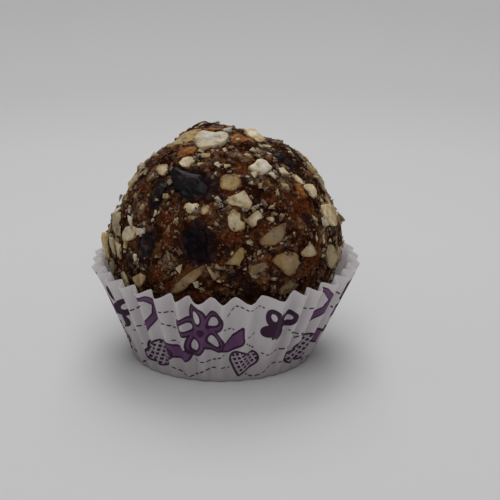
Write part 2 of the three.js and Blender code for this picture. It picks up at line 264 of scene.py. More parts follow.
# Outlines of the nuts that stand out most: corners as right, up in the front view
OUTLINE_GROWTH = 1.08
NUT_OUTLINES = {
    0: [(-5.3, 19.0), (-4.9, 19.8), (-4.0, 20.4), (-3.0, 20.6), (-1.5, 20.3), (0.1, 20.6), (0.8, 19.9),
        (0.5, 18.9), (-0.7, 18.2), (-1.8, 17.8), (-2.8, 17.6), (-3.8, 17.3), (-4.7, 17.6), (-5.2, 18.2)],
    1: [(-9.1, 17.9), (-9.1, 18.8), (-8.2, 19.8), (-6.8, 20.5), (-5.3, 21.1), (-3.3, 21.4), (-4.2, 20.5),
        (-5.1, 19.7), (-5.6, 18.9), (-6.7, 18.7), (-7.8, 18.2), (-8.4, 17.7)],
    2: [(3.9, 20.8), (4.8, 21.3), (6.0, 21.0), (6.8, 20.0), (7.8, 19.6), (7.8, 19.1), (6.9, 18.8),
        (6.4, 18.8), (5.5, 19.6), (4.6, 20.2)],
    3: [(4.7, 13.6), (5.9, 14.4), (6.4, 15.1), (7.4, 15.2), (8.1, 14.8), (8.6, 14.2), (9.2, 13.6),
        (8.1, 12.9), (7.3, 12.3), (6.4, 12.4), (5.5, 13.1)],
    4: [(-0.4, 10.4), (-0.3, 11.6), (0.4, 12.1), (1.6, 12.2), (2.6, 12.1), (3.1, 11.4), (3.4, 10.6),
        (2.9, 10.0), (2.3, 9.5), (1.0, 9.4), (0.0, 9.6)],
    5: [(0.5, 7.3), (1.5, 8.1), (2.8, 8.6), (3.8, 9.2), (4.2, 8.7), (4.7, 7.9), (5.4, 7.1), (5.0, 6.0),
        (4.4, 5.8), (3.8, 6.1), (2.8, 6.5), (1.6, 6.6), (1.0, 6.9)],
    6: [(1.0, 4.2), (1.3, 5.0), (1.7, 5.6), (2.2, 5.6), (2.7, 5.1), (3.2, 4.9), (3.1, 4.1), (3.3, 3.6),
        (3.9, 3.3), (4.1, 2.6), (3.7, 2.2), (2.8, 2.0), (2.0, 1.8), (1.5, 2.2), (1.1, 3.0)],
    7: [(4.6, 4.0), (5.4, 4.7), (5.9, 5.3), (6.6, 5.4), (7.0, 4.8), (7.6, 4.4), (6.8, 4.0), (6.2, 3.7),
        (6.1, 2.9), (5.4, 2.6), (4.7, 3.0)],
    8: [(7.9, 4.1), (8.6, 4.4), (9.2, 4.5), (9.6, 3.9), (9.2, 3.3), (8.7, 3.6)],
    9: [(6.9, -0.4), (7.2, 0.5), (8.4, 1.4), (9.2, 2.2), (10.4, 2.6), (11.6, 3.5), (11.6, 2.9), (11.5, 1.6),
        (11.1, 0.5), (10.1, -0.5), (8.8, -0.9), (7.8, -0.9)],
    10: [(9.4, -3.6), (10.3, -2.8), (11.2, -2.5), (12.5, -2.7), (12.9, -2.3), (13.8, -2.5), (13.9, -3.5),
         (14.4, -4.3), (13.8, -5.0), (13.3, -6.1), (12.4, -6.6), (11.6, -6.1), (10.9, -5.2), (10.3, -4.7),
         (9.7, -4.3)],
    11: [(14.6, -2.4), (15.1, -1.7), (15.9, -1.1), (16.4, -0.6), (16.8, -1.2), (17.1, -2.0), (17.0, -2.8),
         (16.0, -2.9), (15.1, -2.9)],
    12: [(18.3, 6.5), (19.3, 6.9), (20.5, 6.5), (21.1, 5.6), (21.4, 4.2), (21.4, 3.1), (20.6, 2.9),
         (19.9, 3.7), (19.2, 4.5), (18.5, 5.4)],
    13: [(15.0, 10.2), (15.6, 10.6), (16.6, 10.5), (17.1, 9.9), (17.4, 9.0), (17.3, 8.1), (16.7, 8.1),
         (16.3, 8.9), (15.6, 9.5)],
    14: [(19.9, -1.1), (20.8, -0.9), (21.3, -1.9), (21.4, -3.0), (21.2, -4.6), (20.7, -5.3), (20.1, -4.8),
         (19.7, -3.8), (19.5, -2.8), (19.6, -1.8)],
    15: [(0.2, -4.1), (1.2, -3.6), (2.0, -2.8), (2.8, -2.0), (3.0, -1.5), (3.6, -1.3), (4.0, -1.9),
         (3.8, -2.8), (3.4, -3.7), (2.9, -4.7), (2.5, -4.3), (1.4, -4.3)],
    16: [(-9.8, -9.7), (-9.3, -8.5), (-8.2, -7.6), (-7.0, -6.6), (-5.7, -5.7), (-4.3, -5.0), (-3.0, -4.3),
         (-3.9, -5.7), (-4.5, -6.6), (-5.2, -7.4), (-6.2, -7.9), (-7.0, -9.0), (-8.2, -9.6), (-9.0, -9.9)],
    17: [(-3.0, -4.8), (-2.4, -5.0), (-1.7, -5.9), (-1.1, -6.5), (-1.4, -7.5), (-2.1, -6.6), (-2.6, -5.7)],
    18: [(-17.0, -6.8), (-16.1, -6.5), (-15.5, -6.1), (-14.7, -6.5), (-14.6, -7.3), (-15.1, -8.1),
         (-15.7, -8.7), (-16.4, -8.0), (-16.9, -7.5)],
    19: [(-18.9, 0.8), (-18.8, 1.6), (-18.3, 2.4), (-17.4, 2.7), (-16.6, 2.5), (-16.3, 1.6), (-16.6, 0.7),
         (-17.2, 0.3), (-18.0, 0.0), (-18.6, 0.0)],
    22: [(-12.7, 13.4), (-12.1, 14.0), (-11.4, 14.4), (-10.6, 14.3), (-10.4, 13.5), (-10.8, 12.6),
         (-11.3, 12.2), (-12.1, 12.6)],
    23: [(-8.2, 14.5), (-7.4, 15.3), (-6.7, 15.6), (-5.7, 15.5), (-5.3, 14.8), (-5.9, 14.2), (-6.6, 13.7),
         (-7.4, 13.8)],
    24: [(-7.1, 6.0), (-6.8, 6.7), (-6.2, 6.9), (-5.6, 6.6), (-5.0, 6.9), (-4.5, 6.6), (-4.6, 5.9),
         (-5.1, 5.4), (-5.8, 5.5), (-6.6, 5.4)],
    29: [(4.9, -4.9), (5.9, -4.6), (6.6, -4.4), (7.9, -4.0), (8.0, -4.7), (7.3, -5.4), (6.3, -5.9),
         (5.6, -6.6), (5.0, -6.2)],
}

# Outlines of the two raisins that stand out most, in the same way
RAISIN_OUTLINES = {
    0: [(-9.7, 13.2), (-8.9, 14.0), (-7.8, 13.3), (-6.6, 13.4), (-5.2, 12.7), (-4.0, 12.4), (-3.2, 11.2),
        (-2.8, 9.8), (-3.3, 8.5), (-4.6, 8.2), (-5.7, 7.6), (-6.9, 7.2), (-7.9, 7.7), (-8.3, 9.2),
        (-9.5, 9.8), (-9.9, 11.4)],
    1: [(-7.8, 0.9), (-7.2, 1.9), (-6.0, 2.4), (-4.6, 2.1), (-3.3, 1.5), (-2.7, 0.1), (-2.6, -1.5),
        (-2.8, -2.7), (-2.6, -3.7), (-4.0, -4.2), (-5.6, -4.0), (-6.4, -3.1), (-6.8, -1.7), (-7.8, -0.5)],
}

# Smaller nuts that also show in the front view, set in the paste among the others
SMALL_NUTS = [
    [-20.1, 3.8, 5.5, 3.4, 75, "cream"],
    [-20.6, -0.6, 4.4, 3.0, 85, "cream"],
    [-19.6, -1.4, 3.9, 2.0, -70, "cream"],
    [-17.3, 3.7, 2.8, 1.6, -65, "white"],
    [-15.4, 1.9, 2.1, 1.9, 40, "white"],
    [-12.7, 5.2, 1.8, 1.2, 70, "white"],
    [-16.1, -3.1, 2.2, 1.4, 75, "white"],
    [-13.2, 12.4, 1.3, 1.0, 10, "white"],
    [-14.9, 12.9, 1.6, 1.2, 30, "cream"],
    [-10.3, 5.1, 0.9, 0.7, 80, "grey"],
    [-10.2, 8.4, 2.0, 1.7, 60, "cream"],
    [-21.0, -4.7, 2.8, 2.3, 60, "cream"],
    [-17.4, 11.2, 4.2, 2.0, 62, "cream"],
    [-8.8, 18.3, 3.1, 2.1, 40, "cream"],
    [16.6, 13.5, 2.9, 1.8, -50, "yellow"],
    [-15.4, 14.7, 2.4, 1.6, 30, "white"],
    [-15.6, 13.0, 1.9, 1.2, 50, "cream"],
    [-19.0, 8.2, 2.2, 0.9, 65, "yellow"],
    [-20.4, 6.2, 3.0, 2.3, 65, "white"],
    [-17.6, 6.2, 1.4, 1.0, 30, "beige"],
    [-16.6, 8.6, 1.0, 0.6, 40, "beige"],
    [-18.2, -0.6, 1.9, 1.4, 60, "cream"],
    [-15.0, 6.4, 1.6, 1.1, 20, "beige"],
    [-9.8, 13.4, 1.2, 0.8, 60, "grey"],
    [-9.9, 11.0, 1.4, 1.1, 70, "grey"],
    [-10.0, 2.2, 1.5, 1.0, 70, "beige"],
    [-8.7, 3.4, 1.7, 1.1, 50, "cream"],
    [-8.0, -5.2, 2.2, 1.4, 70, "cream"],
    [-10.0, -2.9, 1.7, 0.9, -50, "cream"],
    [-9.6, -4.4, 0.9, 0.8, 0, "grey"],
    [-5.6, 4.0, 1.8, 1.2, 0, "beige"],
    [-2.4, 2.6, 0.9, 0.8, 0, "beige"],
    [-1.0, 2.9, 2.0, 0.5, -48, "grey"],
    [-0.9, 7.6, 1.7, 0.9, -25, "white"],
    [-1.3, 6.6, 0.9, 0.8, 0, "beige"],
    [-2.4, 6.4, 1.6, 0.9, 10, "cream"],
    [-0.2, 6.4, 1.1, 0.9, 0, "white"],
    [-6.6, 18.0, 2.2, 0.7, 15, "beige"],
    [-3.8, 16.8, 1.7, 1.3, 55, "cream"],
    [-1.8, 16.8, 1.1, 0.9, 0, "beige"],
    [0.5, 16.8, 1.3, 1.4, 0, "white"],
    [1.5, 17.6, 1.6, 1.1, 0, "beige"],
    [2.8, 19.1, 1.1, 0.9, 0, "cream"],
    [0.9, 21.1, 2.2, 1.4, 20, "white"],
    [-4.2, 14.2, 1.4, 1.1, 0, "cream"],
    [-0.9, 14.1, 1.3, 1.1, 0, "white"],
    [0.7, 13.8, 1.3, 1.1, 0, "cream"],
    [1.3, 12.7, 1.0, 0.6, 0, "beige"],
    [4.6, 15.9, 1.6, 0.9, -30, "cream"],
    [5.5, 16.9, 1.8, 1.4, 0, "white"],
    [6.5, 16.9, 1.2, 0.8, 15, "cream"],
    [6.7, 15.7, 2.0, 0.5, -5, "beige"],
    [8.3, 17.6, 1.9, 1.3, -30, "cream"],
    [8.6, 16.2, 1.3, 0.7, -30, "white"],
    [7.2, 17.9, 1.4, 1.1, 0, "cream"],
    [9.1, 12.2, 2.3, 1.2, -35, "white"],
    [10.1, 8.9, 1.5, 0.9, 80, "cream"],
    [5.9, 12.0, 2.4, 1.4, -10, "white"],
    [6.9, 10.2, 1.6, 1.1, 60, "beige"],
    [5.4, 10.6, 1.0, 0.9, 0, "cream"],
    [12.5, 16.9, 1.5, 1.1, -30, "white"],
    [17.4, 12.4, 3.1, 2.3, -40, "cream"],
    [18.9, 10.2, 5.3, 2.1, -62, "cream"],
    [18.4, 7.8, 2.6, 1.4, -70, "cream"],
    [19.0, 3.4, 2.5, 2.0, -50, "white"],
    [16.9, 4.3, 2.2, 1.2, -30, "cream"],
    [18.8, 0.4, 1.7, 0.9, 90, "cream"],
    [17.4, 0.6, 1.2, 0.7, 80, "cream"],
    [20.0, -3.0, 1.6, 1.2, 20, "cream"],
    [18.7, -2.8, 0.9, 0.8, 0, "cream"],
    [5.8, 6.0, 1.6, 1.0, 10, "beige"],
    [6.3, 6.6, 1.3, 0.9, 30, "white"],
    [9.2, 6.3, 1.7, 0.6, 30, "beige"],
    [11.1, 4.6, 1.1, 1.0, 0, "beige"],
    [5.0, -0.3, 0.8, 1.3, 85, "cream"],
    [4.4, 0.7, 0.7, 0.6, 0, "grey"],
    [11.8, 0.4, 1.1, 0.8, 60, "grey"],
    [10.9, -0.5, 1.0, 0.6, 0, "grey"],
    [8.9, -1.5, 1.2, 0.8, 0, "beige"],
    [6.7, -2.2, 1.4, 1.1, 10, "beige"],
    [4.8, -3.4, 0.8, 0.7, 0, "grey"],
    [13.2, 1.3, 0.8, 0.7, 0, "beige"],
    [-0.9, -4.9, 1.4, 1.0, -30, "grey"],
    [-0.6, -7.3, 1.0, 0.8, 0, "cream"],
    [1.0, -8.2, 0.9, 0.6, 10, "grey"],
    [5.9, -6.5, 2.6, 0.8, -30, "grey"],
    [9.2, -7.2, 1.4, 0.8, 0, "grey"],
    [13.6, -8.2, 1.0, 0.7, 30, "grey"],
    [-4.7, -8.0, 1.9, 1.5, 20, "white"],
    [-3.6, -9.0, 1.4, 0.8, 0, "beige"],
    [9.6, -8.5, 0.8, 0.6, 0, "grey"],
]
SCATTERED_SMALL_NUTS = 115
SMALL_NUT_LENGTH = [0.9, 3.2]
SHORT_SMALL_NUTS = 1.8  # above 1, short ones are more common
SMALL_NUTS_APART = 0.3

# Albedo of the nuts by tint
NUT_TINTS = {
    "white": (0.745, 0.68, 0.55),
    "cream": (0.63, 0.525, 0.335),
    "yellow": (0.53, 0.40, 0.18),
    "beige": (0.46, 0.34, 0.20),
    "grey": (0.38, 0.31, 0.23),
    "green": (0.46, 0.42, 0.26),
}

# Soft patches of the paste in the front view: right, up, length, width, turn and kind
FRONT_PATCHES = [
    [3.2, 19.5, 5.6, 3.4, -18, "orange"],
    [-1.6, 21.4, 4.8, 1.6, 0, "orange"],
    [-7.0, 16.6, 3.8, 2.4, 5, "orange"],
    [-8.6, 18.4, 2.6, 2.0, 30, "orange"],
    [-1.0, 17.0, 4.4, 2.2, 0, "red"],
    [1.8, 9.0, 5.0, 1.5, 0, "red"],
    [-9.8, 3.2, 8.0, 3.6, 80, "red"],
    [-3.6, 4.4, 4.8, 1.8, 0, "red"],
    [1.8, 0.7, 4.8, 3.0, 10, "red"],
    [13.8, 6.8, 7.0, 6.6, 0, "red"],
    [14.4, 9.6, 3.6, 2.0, -40, "orange"],
    [16.4, -4.4, 5.4, 4.2, 10, "red"],
    [7.2, -4.6, 4.6, 2.8, 20, "red"],
    [-8.4, -7.4, 9.0, 2.6, 38, "red"],
    [-12.3, -6.2, 3.4, 3.0, 40, "red"],
    [16.4, 13.6, 2.8, 3.4, 30, "orange"],
    [-4.6, -10.6, 7.0, 3.0, 0, "red"],
    [3.6, 13.4, 3.4, 3.4, 60, "red"],
    [4.5, -9.0, 5.0, 2.6, 0, "dark"],
    [9.4, 7.6, 3.0, 3.0, 0, "red"],
    [-15.6, 9.8, 3.0, 2.4, 60, "red"],
    [-19.6, -4.6, 2.4, 2.6, 70, "red"],
    [-20.3, 3.6, 2.0, 2.2, 70, "meal"],
    [19.0, -6.0, 3.0, 3.0, 0, "red"],
    [-2.0, 10.6, 3.2, 5.4, 0, "dark"],
    [-12.6, 8.8, 9.6, 3.8, 80, "dark"],
    [-14.0, -0.4, 5.4, 4.8, 0, "dark"],
    [11.4, 15.4, 5.0, 3.2, -20, "dark"],
    [-4.6, 3.0, 3.8, 2.6, 0, "dark"],
    [15.6, 3.8, 3.6, 2.6, -10, "dark"],
    [-17.6, -4.2, 3.0, 3.6, 0, "dark"],
    [8.4, -1.6, 2.6, 1.8, 0, "dark"],
    [2.6, -7.0, 5.0, 2.4, 0, "dark"],
    [-15.9, 5.7, 5.8, 4.0, 0, "meal"],
    [-14.6, 2.0, 4.0, 2.8, 0, "meal"],
    [2.1, 16.4, 3.2, 2.4, 0, "meal"],
    [6.2, 11.6, 4.2, 3.0, 0, "meal"],
    [7.2, 16.8, 4.2, 2.4, 0, "meal"],
    [-9.8, -3.9, 5.4, 4.0, 0, "meal"],
    [-13.0, 13.0, 5.4, 3.6, 40, "meal"],
    [-5.6, 14.0, 4.4, 1.8, 0, "meal"],
    [11.6, 11.0, 4.6, 3.6, -30, "meal"],
    [8.4, 2.2, 4.6, 2.6, 20, "red"],
    [-5.0, 5.8, 5.6, 2.2, 0, "meal"],
    [9.6, -7.0, 3.6, 2.0, 0, "dark"],
    [-19.4, 8.0, 4.4, 2.4, 60, "meal"],
    [18.6, 1.4, 3.6, 3.4, 0, "meal"],
    [-17.8, -9.0, 3.6, 3.4, 0, "meal"],
    [-0.6, -4.6, 4.4, 2.0, 30, "red"],
]
PATCH_KINDS = ["orange", "red", "dark", "meal"]
SCATTERED_PATCHES = 96
PATCH_LENGTH = [2.4, 7.5]
PATCH_SLENDERNESS = [0.45, 0.9]

# Crumbs: number, length, form and place
CRUMBS = 2400
CRUMB_TRIES = 40000
CRUMB_SHAPES = 12
CRUMB_CORNERS = 9
CRUMB_CORNER_REACH = [0.8, 1.2]
CRUMB_LENGTH = [0.4, 1.7]
SHORT_CRUMBS = 2.4  # above 1, short ones are more common
CRUMB_FORM = np.array([1.0, 0.75, 0.55])
CRUMB_LIFT = 0.05
CRUMB_UNEVENNESS = 0.08
CRUMB_SINK = 0.1
CRUMB_TILT = 0.3
CLUSTER_SIZE = 3.4
CRUMBS_ANYWHERE = 0.2
CRUMBS_IN_MEAL = 0.7
FEWER_IN_BARE = 0.5
CRUMB_THINNING = 0.9
COVERING_NUT = 2.4
NUT_COVER = 0.36
RAISIN_COVER = 0.42
CRUMBS_ON_RAISINS = 0.04
# Albedo of the crumbs, from nut meal to bits of paste, and the share of each
CRUMB_TINTS = [
    (0.52, 0.45, 0.37),
    (0.40, 0.30, 0.22),
    (0.31, 0.21, 0.145),
    (0.24, 0.145, 0.092),
    (0.17, 0.088, 0.055),
    (0.11, 0.048, 0.032),
]
CRUMB_SHARES = [0.02, 0.07, 0.15, 0.25, 0.30, 0.21]
CRUMB_SHADE = [0.6, 1.05]
SOFT_CRUMB_LENGTH = 0.9  # smaller crumbs are darker, stained by the paste
SOFT_CRUMB_SHADE = 0.55

# Small nuts as angular bits with a few crumbs of them beside
BIT_CRUMBS = 3
BIT_GROWTH = 1.15
BIT_SHADE = [0.75, 1.05]
BIT_CRUMB_SHADE = 0.65
BIT_CRUMB_SIZE = [0.25, 0.55]
BIT_CRUMB_SPREAD = 0.45

# Crumbs broken off along the edges of nuts
EDGE_CRUMBS = 1.5  # for each mm of a nut's length
EDGE_CRUMB_REACH = [0.85, 1.25]
EDGE_CRUMB_LENGTH = [0.35, 1.1]
EDGE_CRUMB_LIFT = 0.08
EDGE_CRUMB_SHADE = [0.5, 0.88]

# The print, in mm of flat paper
STROKE = 0.46
RIBBON_STROKE = 0.32
CHECK_PITCH = 1.0
CHECK_SIDE = 0.66
CHECK_MARGIN = 0.3
HEART_SIZE = 5.4
NO_INK = 9.0
THIN_WASH = 0.015
MOTIF_REPEAT = 90
MOTIF_REACH = 14
CLEAR_OF_MOTIFS = 0.7
DASH_LENGTH = 0.7
DASH_PERIOD = 1.35
DASH_WIDTH = 0.34
DASH_REACH = 2.5  # well beyond a dash's end
STITCH_STEPS = 2400
QUARTER = math.pi / 2
# Dashed lines: mm out from the base's centre, waves in and out, and waves along the line;
# a wave is its lift, how many go round the cup, and where it starts in radians
STITCHES = [
    [25.2, [(2.2, 10, 0), (0.8, 5, 0)], [(0.05, 10, QUARTER)]],
    [34.0, [(1.8, 8, 0), (0.7, 3, 0)], [(0.06, 8, 1 + QUARTER)]],
    [19.6, [(1.4, 9, QUARTER)], [(0.04, 9, 0)]],
    [29.5, [(1.6, 12, 2), (0.9, 7, 0)], []],
]

# Noise of the materials: size in mm, detail and roughness
NOISES = {
    "paste grain": (0.8, 5, 0.62),
    "paste cloud": (3.4, 4, 0.6),
    "paste wetness": (1.3, 4, 0.5),
    "paste relief": (0.5, 4, 0.65),
    "patch edges": (1.9, 5, 0.62),
    "halo edges": (1.1, 5, 0.65),
    "nut cloud": (1.5, 5, 0.6),
    "nut edges": (1.0, 5, 0.65),
    "nut relief": (0.5, 5, 0.7),
    "nut waves": (1.5, 3, 0.6),
    "raisin cloud": (2.0, 4, 0.6),
    "raisin bloom": (0.7, 4, 0.7),
    "raisin smears": (1.2, 5, 0.65),
    "raisin wetness": (1.4, 3, 0.5),
    "raisin relief": (0.9, 4, 0.55),
    "paper cloud": (5.0, 4, 0.6),
    "paper fibres": (0.25, 3, 0.6),
    "paper waves": (1.4, 2, 0.5),
}
# How ragged their noise makes some edges, and the relief of each material: depth in mm, strength
PATCH_RAGGEDNESS = 1.9
HALO_RAGGEDNESS = 1.6
NUT_RAGGEDNESS = 1.2
INK_RAGGEDNESS = 0.12
PASTE_RELIEF = (0.14, 0.8)
NUT_RELIEF = (0.2, 0.9)
RAISIN_RELIEF = (0.1, 0.6)
PAPER_RELIEF = (0.03, 0.5)

# Colours of the paste by its own mix of grain, and how much each part counts in the mix
PASTE_MIX = {"lump": 0.16, "bit": 0.14}
GRAIN_SHARE = 0.5
CLOUD_SHARE = 0.6
MIX_LEVEL = 0.2
PASTE_COLOURS = [
    (0.26, (0.022, 0.006, 0.003)),
    (0.40, (0.050, 0.017, 0.006)),
    (0.52, (0.096, 0.036, 0.013)),
    (0.64, (0.175, 0.080, 0.030)),
    (0.80, (0.310, 0.175, 0.078)),
]
# Patches: where their edge starts and ends, how much they cover, and their colours by grain
PATCH_LOOKS = {
    "red": [
        0.3, 0.6, 0.95,
        [(0.32, (0.036, 0.007, 0.003)), (0.5, (0.088, 0.022, 0.007)), (0.7, (0.200, 0.062, 0.018))],
    ],
    "meal": [
        0.4, 0.75, 0.75,
        [(0.34, (0.055, 0.021, 0.010)), (0.5, (0.155, 0.080, 0.040)), (0.66, (0.380, 0.255, 0.155))],
    ],
    "orange": [
        0.35, 0.6, 0.9,
        [(0.3, (0.110, 0.030, 0.007)), (0.46, (0.270, 0.092, 0.021)), (0.66, (0.500, 0.235, 0.072))],
    ],
    "dark": [0.35, 0.65, 0.9, [(0.35, (0.010, 0.005, 0.005)), (0.68, (0.045, 0.020, 0.018))]],
}
HALO_COVER = (0.4, 1.0, 0.6)
HALO_TAN = (0.185, 0.088, 0.032)
JUICE_COVER = (0.6, 1.1, 0.8)
JUICE_GRAIN = 0.5
JUICE_DARK = (0.016, 0.008, 0.009)
WET_PASTE = (0.5, 0.68)
# Specks of meal: cell size, warp, which cells have one, where it starts and ends, cover, colour
SPECKS = [
    [0.55, (1.0, 0.9), (0.84, 0.9), (0.42, 0.22), 0.5, (0.36, 0.25, 0.15)],
    [0.32, (0.5, 0.3), (0.9, 0.95), (0.42, 0.2), 0.35, (0.36, 0.25, 0.18)],
]
SPECK_RELIEF = 0.35
# Painted shade on the food: its colour grows darker low in the cup
SHADED_IN_CUP = [14, 27]  # heights between which the food grows darker downwards
CUP_SHADE = (0.78, 0.76, 0.74)  # how dark it is at the lower one

# Colours of the nuts where paste stains them, of the raisins' skin, and of the paper and inks;
# a cover is where a colour starts, where it is full, and how much of it there is then
NUT_CLOUD = [(0.32, (0.50, 0.38, 0.24)), (0.46, (0.84, 0.80, 0.72)), (0.66, (1.08, 1.08, 1.08))]
NUT_WAVES = 1.6
CREAM_COVER = (1.05, 0.45, 0.8)
NUT_CREAM = (0.98, 0.89, 0.68)
AMBER_COVER = (0.6, 0.12, 0.75)
NUT_AMBER = (0.36, 0.215, 0.095)
PASTE_COVER = (0.3, -0.02, 0.9)
NUT_PASTE = (0.125, 0.052, 0.020)
RAISIN_CLOUD = [(0.35, (0.002, 0.0015, 0.002)), (0.55, (0.006, 0.004, 0.005)), (0.72, (0.032, 0.010, 0.014))]
# Grey patches on the raisins' skin: partly real bloom, partly painted sheen, strongest on the glossiest
# raisins
BLOOM_AND_SHEEN_COVER = (0.45, 0.75, 0.3)
RAISIN_BLOOM_AND_SHEEN = (0.055, 0.042, 0.042)
SMEAR_COVER = (0.5, 0.66, 0.8)
RAISIN_SMEAR = (0.09, 0.045, 0.025)
PAPER_CLOUD = [(0.3, (0.677, 0.622, 0.635)), (0.7, (0.727, 0.672, 0.685))]
# Painted shade on the paper: darkest at the lower foot height, its own colour from the upper one
PAPER_FOOT_SHADE = (0.58, 0.57, 0.565)
FOOT_SHADE_HEIGHTS = [-1.0, 10.5]
INK_EDGE = (0.05, -0.05)
MID_INK = (0.165, 0.070, 0.172)
DARK_INK = (0.047, 0.016, 0.044)

# The camera and its photograph: how far away it is, and how wide its frame is at the object
CAMERA_DISTANCE = 500.0
FRAME_WIDTH = 96.25
SENSOR_WIDTH = 36.0
AIM_RIGHT = 5.005
AIM_UP = -1.7325

# The floor with painted shade, a little darker behind the object, and painted light that pales it at the
# horizon: mm from the object, and albedo
FLOOR_HALF_WIDTH = 6000.0
FLOOR_PAINTED_LIGHT_AND_SHADE = [
    (80, 0.71),
    (140, 0.68),
    (190, 0.60),
    (290, 0.53),
    (430, 0.58),
    (1000, 0.86),
    (2000, 0.95),
]

# Soft panels: where each hangs, its side and its power in watts
PANELS = {
    "overhead": [(0, 0, 800), 600, 1.0],
    "overhead_back": [(0, 500, 700), 500, 2.63],
    "overhead_front": [(0, -500, 700), 500, 1.5],
    "left_fill": [(-700, 0, 500), 400, 0.06],
}
WORLD_STRENGTH = 0.2

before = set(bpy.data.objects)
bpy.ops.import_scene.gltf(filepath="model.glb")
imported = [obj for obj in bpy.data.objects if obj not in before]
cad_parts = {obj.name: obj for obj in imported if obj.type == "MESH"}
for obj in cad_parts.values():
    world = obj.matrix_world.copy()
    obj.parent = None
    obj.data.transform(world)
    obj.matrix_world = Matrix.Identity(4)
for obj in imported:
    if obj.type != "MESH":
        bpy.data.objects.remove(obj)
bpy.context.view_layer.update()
noise.seed_set(SEEDS["noise vectors"])


def draws_for(use):
    """The same sequence of draws every time, from 0 up to 1."""
    multiplier, increment, modulus = 1664525, 1013904223, 2**32
    state = SEEDS[use]
    while True:
        state = (state * multiplier + increment) % modulus
        yield state / modulus


def between(limits, share):
    return limits[0] + (limits[1] - limits[0]) * share


def one_of(choices, share):
    return choices[int(len(choices) * share)]


def unit(vectors):
    return vectors / np.linalg.norm(vectors, axis=-1, keepdims=True)


# Directions of the front view
RIGHT = np.array([1.0, 0.0, 0.0])
UP = np.array([0.0, math.sin(VIEW_TILT), math.cos(VIEW_TILT)])
TOWARDS = np.array([0.0, -math.cos(VIEW_TILT), math.sin(VIEW_TILT)])


def level_direction(degrees):
    """The direction in the plane of the front view at some degrees from right towards up."""
    angle = math.radians(degrees)
    return math.cos(angle) * RIGHT + math.sin(angle) * UP


def seen_at(right, up):
    """The direction from the ball's centre to the point seen at right, up in the front view."""
    inside_edge = 0.995
    across = min(math.hypot(right, up), inside_edge * BALL_RADIUS)
    depth = math.sqrt(BALL_RADIUS**2 - across**2)
    return unit(right * RIGHT + up * UP + depth * TOWARDS)


def any_direction(draw):
    height = 2 * next(draw) - 1
    turn = 2 * math.pi * next(draw)
    across = math.sqrt(1 - height**2)
    return np.array([across * math.cos(turn), across * math.sin(turn), height])


def surface_axes(direction, turn):
    """Along, across and outwards on the ball's surface, turned as the front view shows."""
    along = level_direction(turn)
    along = unit(along - along.dot(direction) * direction)
    return along, np.cross(direction, along), direction


def all_swells():
    """Centre, lift and spread of each swell and lump of the ball."""
    rows = []
    for clock, towards, lift, spread in SWELLS:
        near = math.radians(towards)
        centre = math.cos(near) * level_direction(clock) + math.sin(near) * TOWARDS
        rows.append((centre, lift, math.radians(spread)))
    draw = draws_for("lumps")
    for _ in range(LUMPS):
        centre = any_direction(draw)
        lift = LUMP_LIFT * (2 * next(draw) - 1)
        rows.append((centre, lift, math.radians(between(LUMP_SPREAD, next(draw)))))
    return [np.array(column) for column in zip(*rows)]


SWELL_CENTRES, SWELL_LIFTS, SWELL_SPREADS = all_swells()


def paste_radius(directions):
    """How far the paste's smooth surface is from the ball's centre in each direction."""
    away = np.arccos(np.clip(directions @ SWELL_CENTRES.T, -1, 1)) / SWELL_SPREADS
    return BALL_RADIUS + np.exp(-(away**2)) @ SWELL_LIFTS


def radius_at(direction):
    return float(paste_radius(direction[None])[0])


def height_of(directions):
    return BALL_CENTRE[2] + BALL_RADIUS * directions[..., 2]


def clear_of(piece, others, share, room=0):
    """Whether a piece keeps away from others by some mm and a share of their lengths."""
    for other in others:
        towards = float(np.dot(piece["direction"], other["direction"]))
        away = math.acos(max(-1.0, min(1.0, towards))) * BALL_RADIUS
        if away <= room + share * (piece["length"] + other["length"]):
            return False
    return True


def seen_pieces(rows):
    """The pieces that rows of the front view place, size, turn and tint."""
    keys = ["length", "width", "turn", "tint"]
    return [{"direction": seen_at(*row[:2]), **dict(zip(keys, row[2:]))} for row in rows]


def scattered(rows, count, use, lengths, shortness, slenderness, tints, fits):
    """The front view's pieces and, on the rest of the ball, others like them that fit."""
    pieces = seen_pieces(rows)
    draw = draws_for(use)
    while len(pieces) < len(rows) + count:
        direction = any_direction(draw)
        length = between(lengths, next(draw) ** shortness)
        width = length * between(slenderness, next(draw))
        piece = {"direction": direction, "length": length, "width": width, "turn": 180 * next(draw)}
        if tints:
            piece["tint"] = one_of(tints, next(draw))
        if direction.dot(TOWARDS) < SCATTERED_FACING and fits(piece, pieces):
            pieces.append(piece)
    return pieces


def all_raisins():
    """The front view's raisins and a few more behind."""
    raisins = seen_pieces(FRONT_RAISINS)
    draw = draws_for("raisins")
    while len(raisins) < len(FRONT_RAISINS) + BACK_RAISINS:
        raisin = {
            "direction": any_direction(draw),
            "length": between(BACK_RAISIN_LENGTH, next(draw)),
            "width": between(BACK_RAISIN_WIDTH, next(draw)),
            "turn": 180 * next(draw),
        }
        behind = raisin["direction"].dot(TOWARDS) < BACK_RAISIN_FACING
        high = height_of(raisin["direction"]) > RAISINS_ABOVE
        if behind and high and clear_of(raisin, raisins, 0, RAISINS_APART):
            raisins.append(raisin)
    return raisins


def all_nuts(raisins):
    def fits(nut, nuts):
        high = height_of(nut["direction"]) > NUTS_ABOVE
        return high and clear_of(nut, nuts, NUTS_APART) and clear_of(nut, raisins, NUTS_OFF_RAISINS)

    sizes = (NUT_LENGTH, SHORT_NUTS, NUT_SLENDERNESS)
    nuts = scattered(FRONT_NUTS, SCATTERED_NUTS, "nuts", *sizes, None, fits)
    draw = draws_for("nut tints")
    for nut in nuts[len(FRONT_NUTS) :]:
        nut["tint"] = one_of(list(NUT_TINTS), next(draw) ** PALE_NUTS)
    return nuts


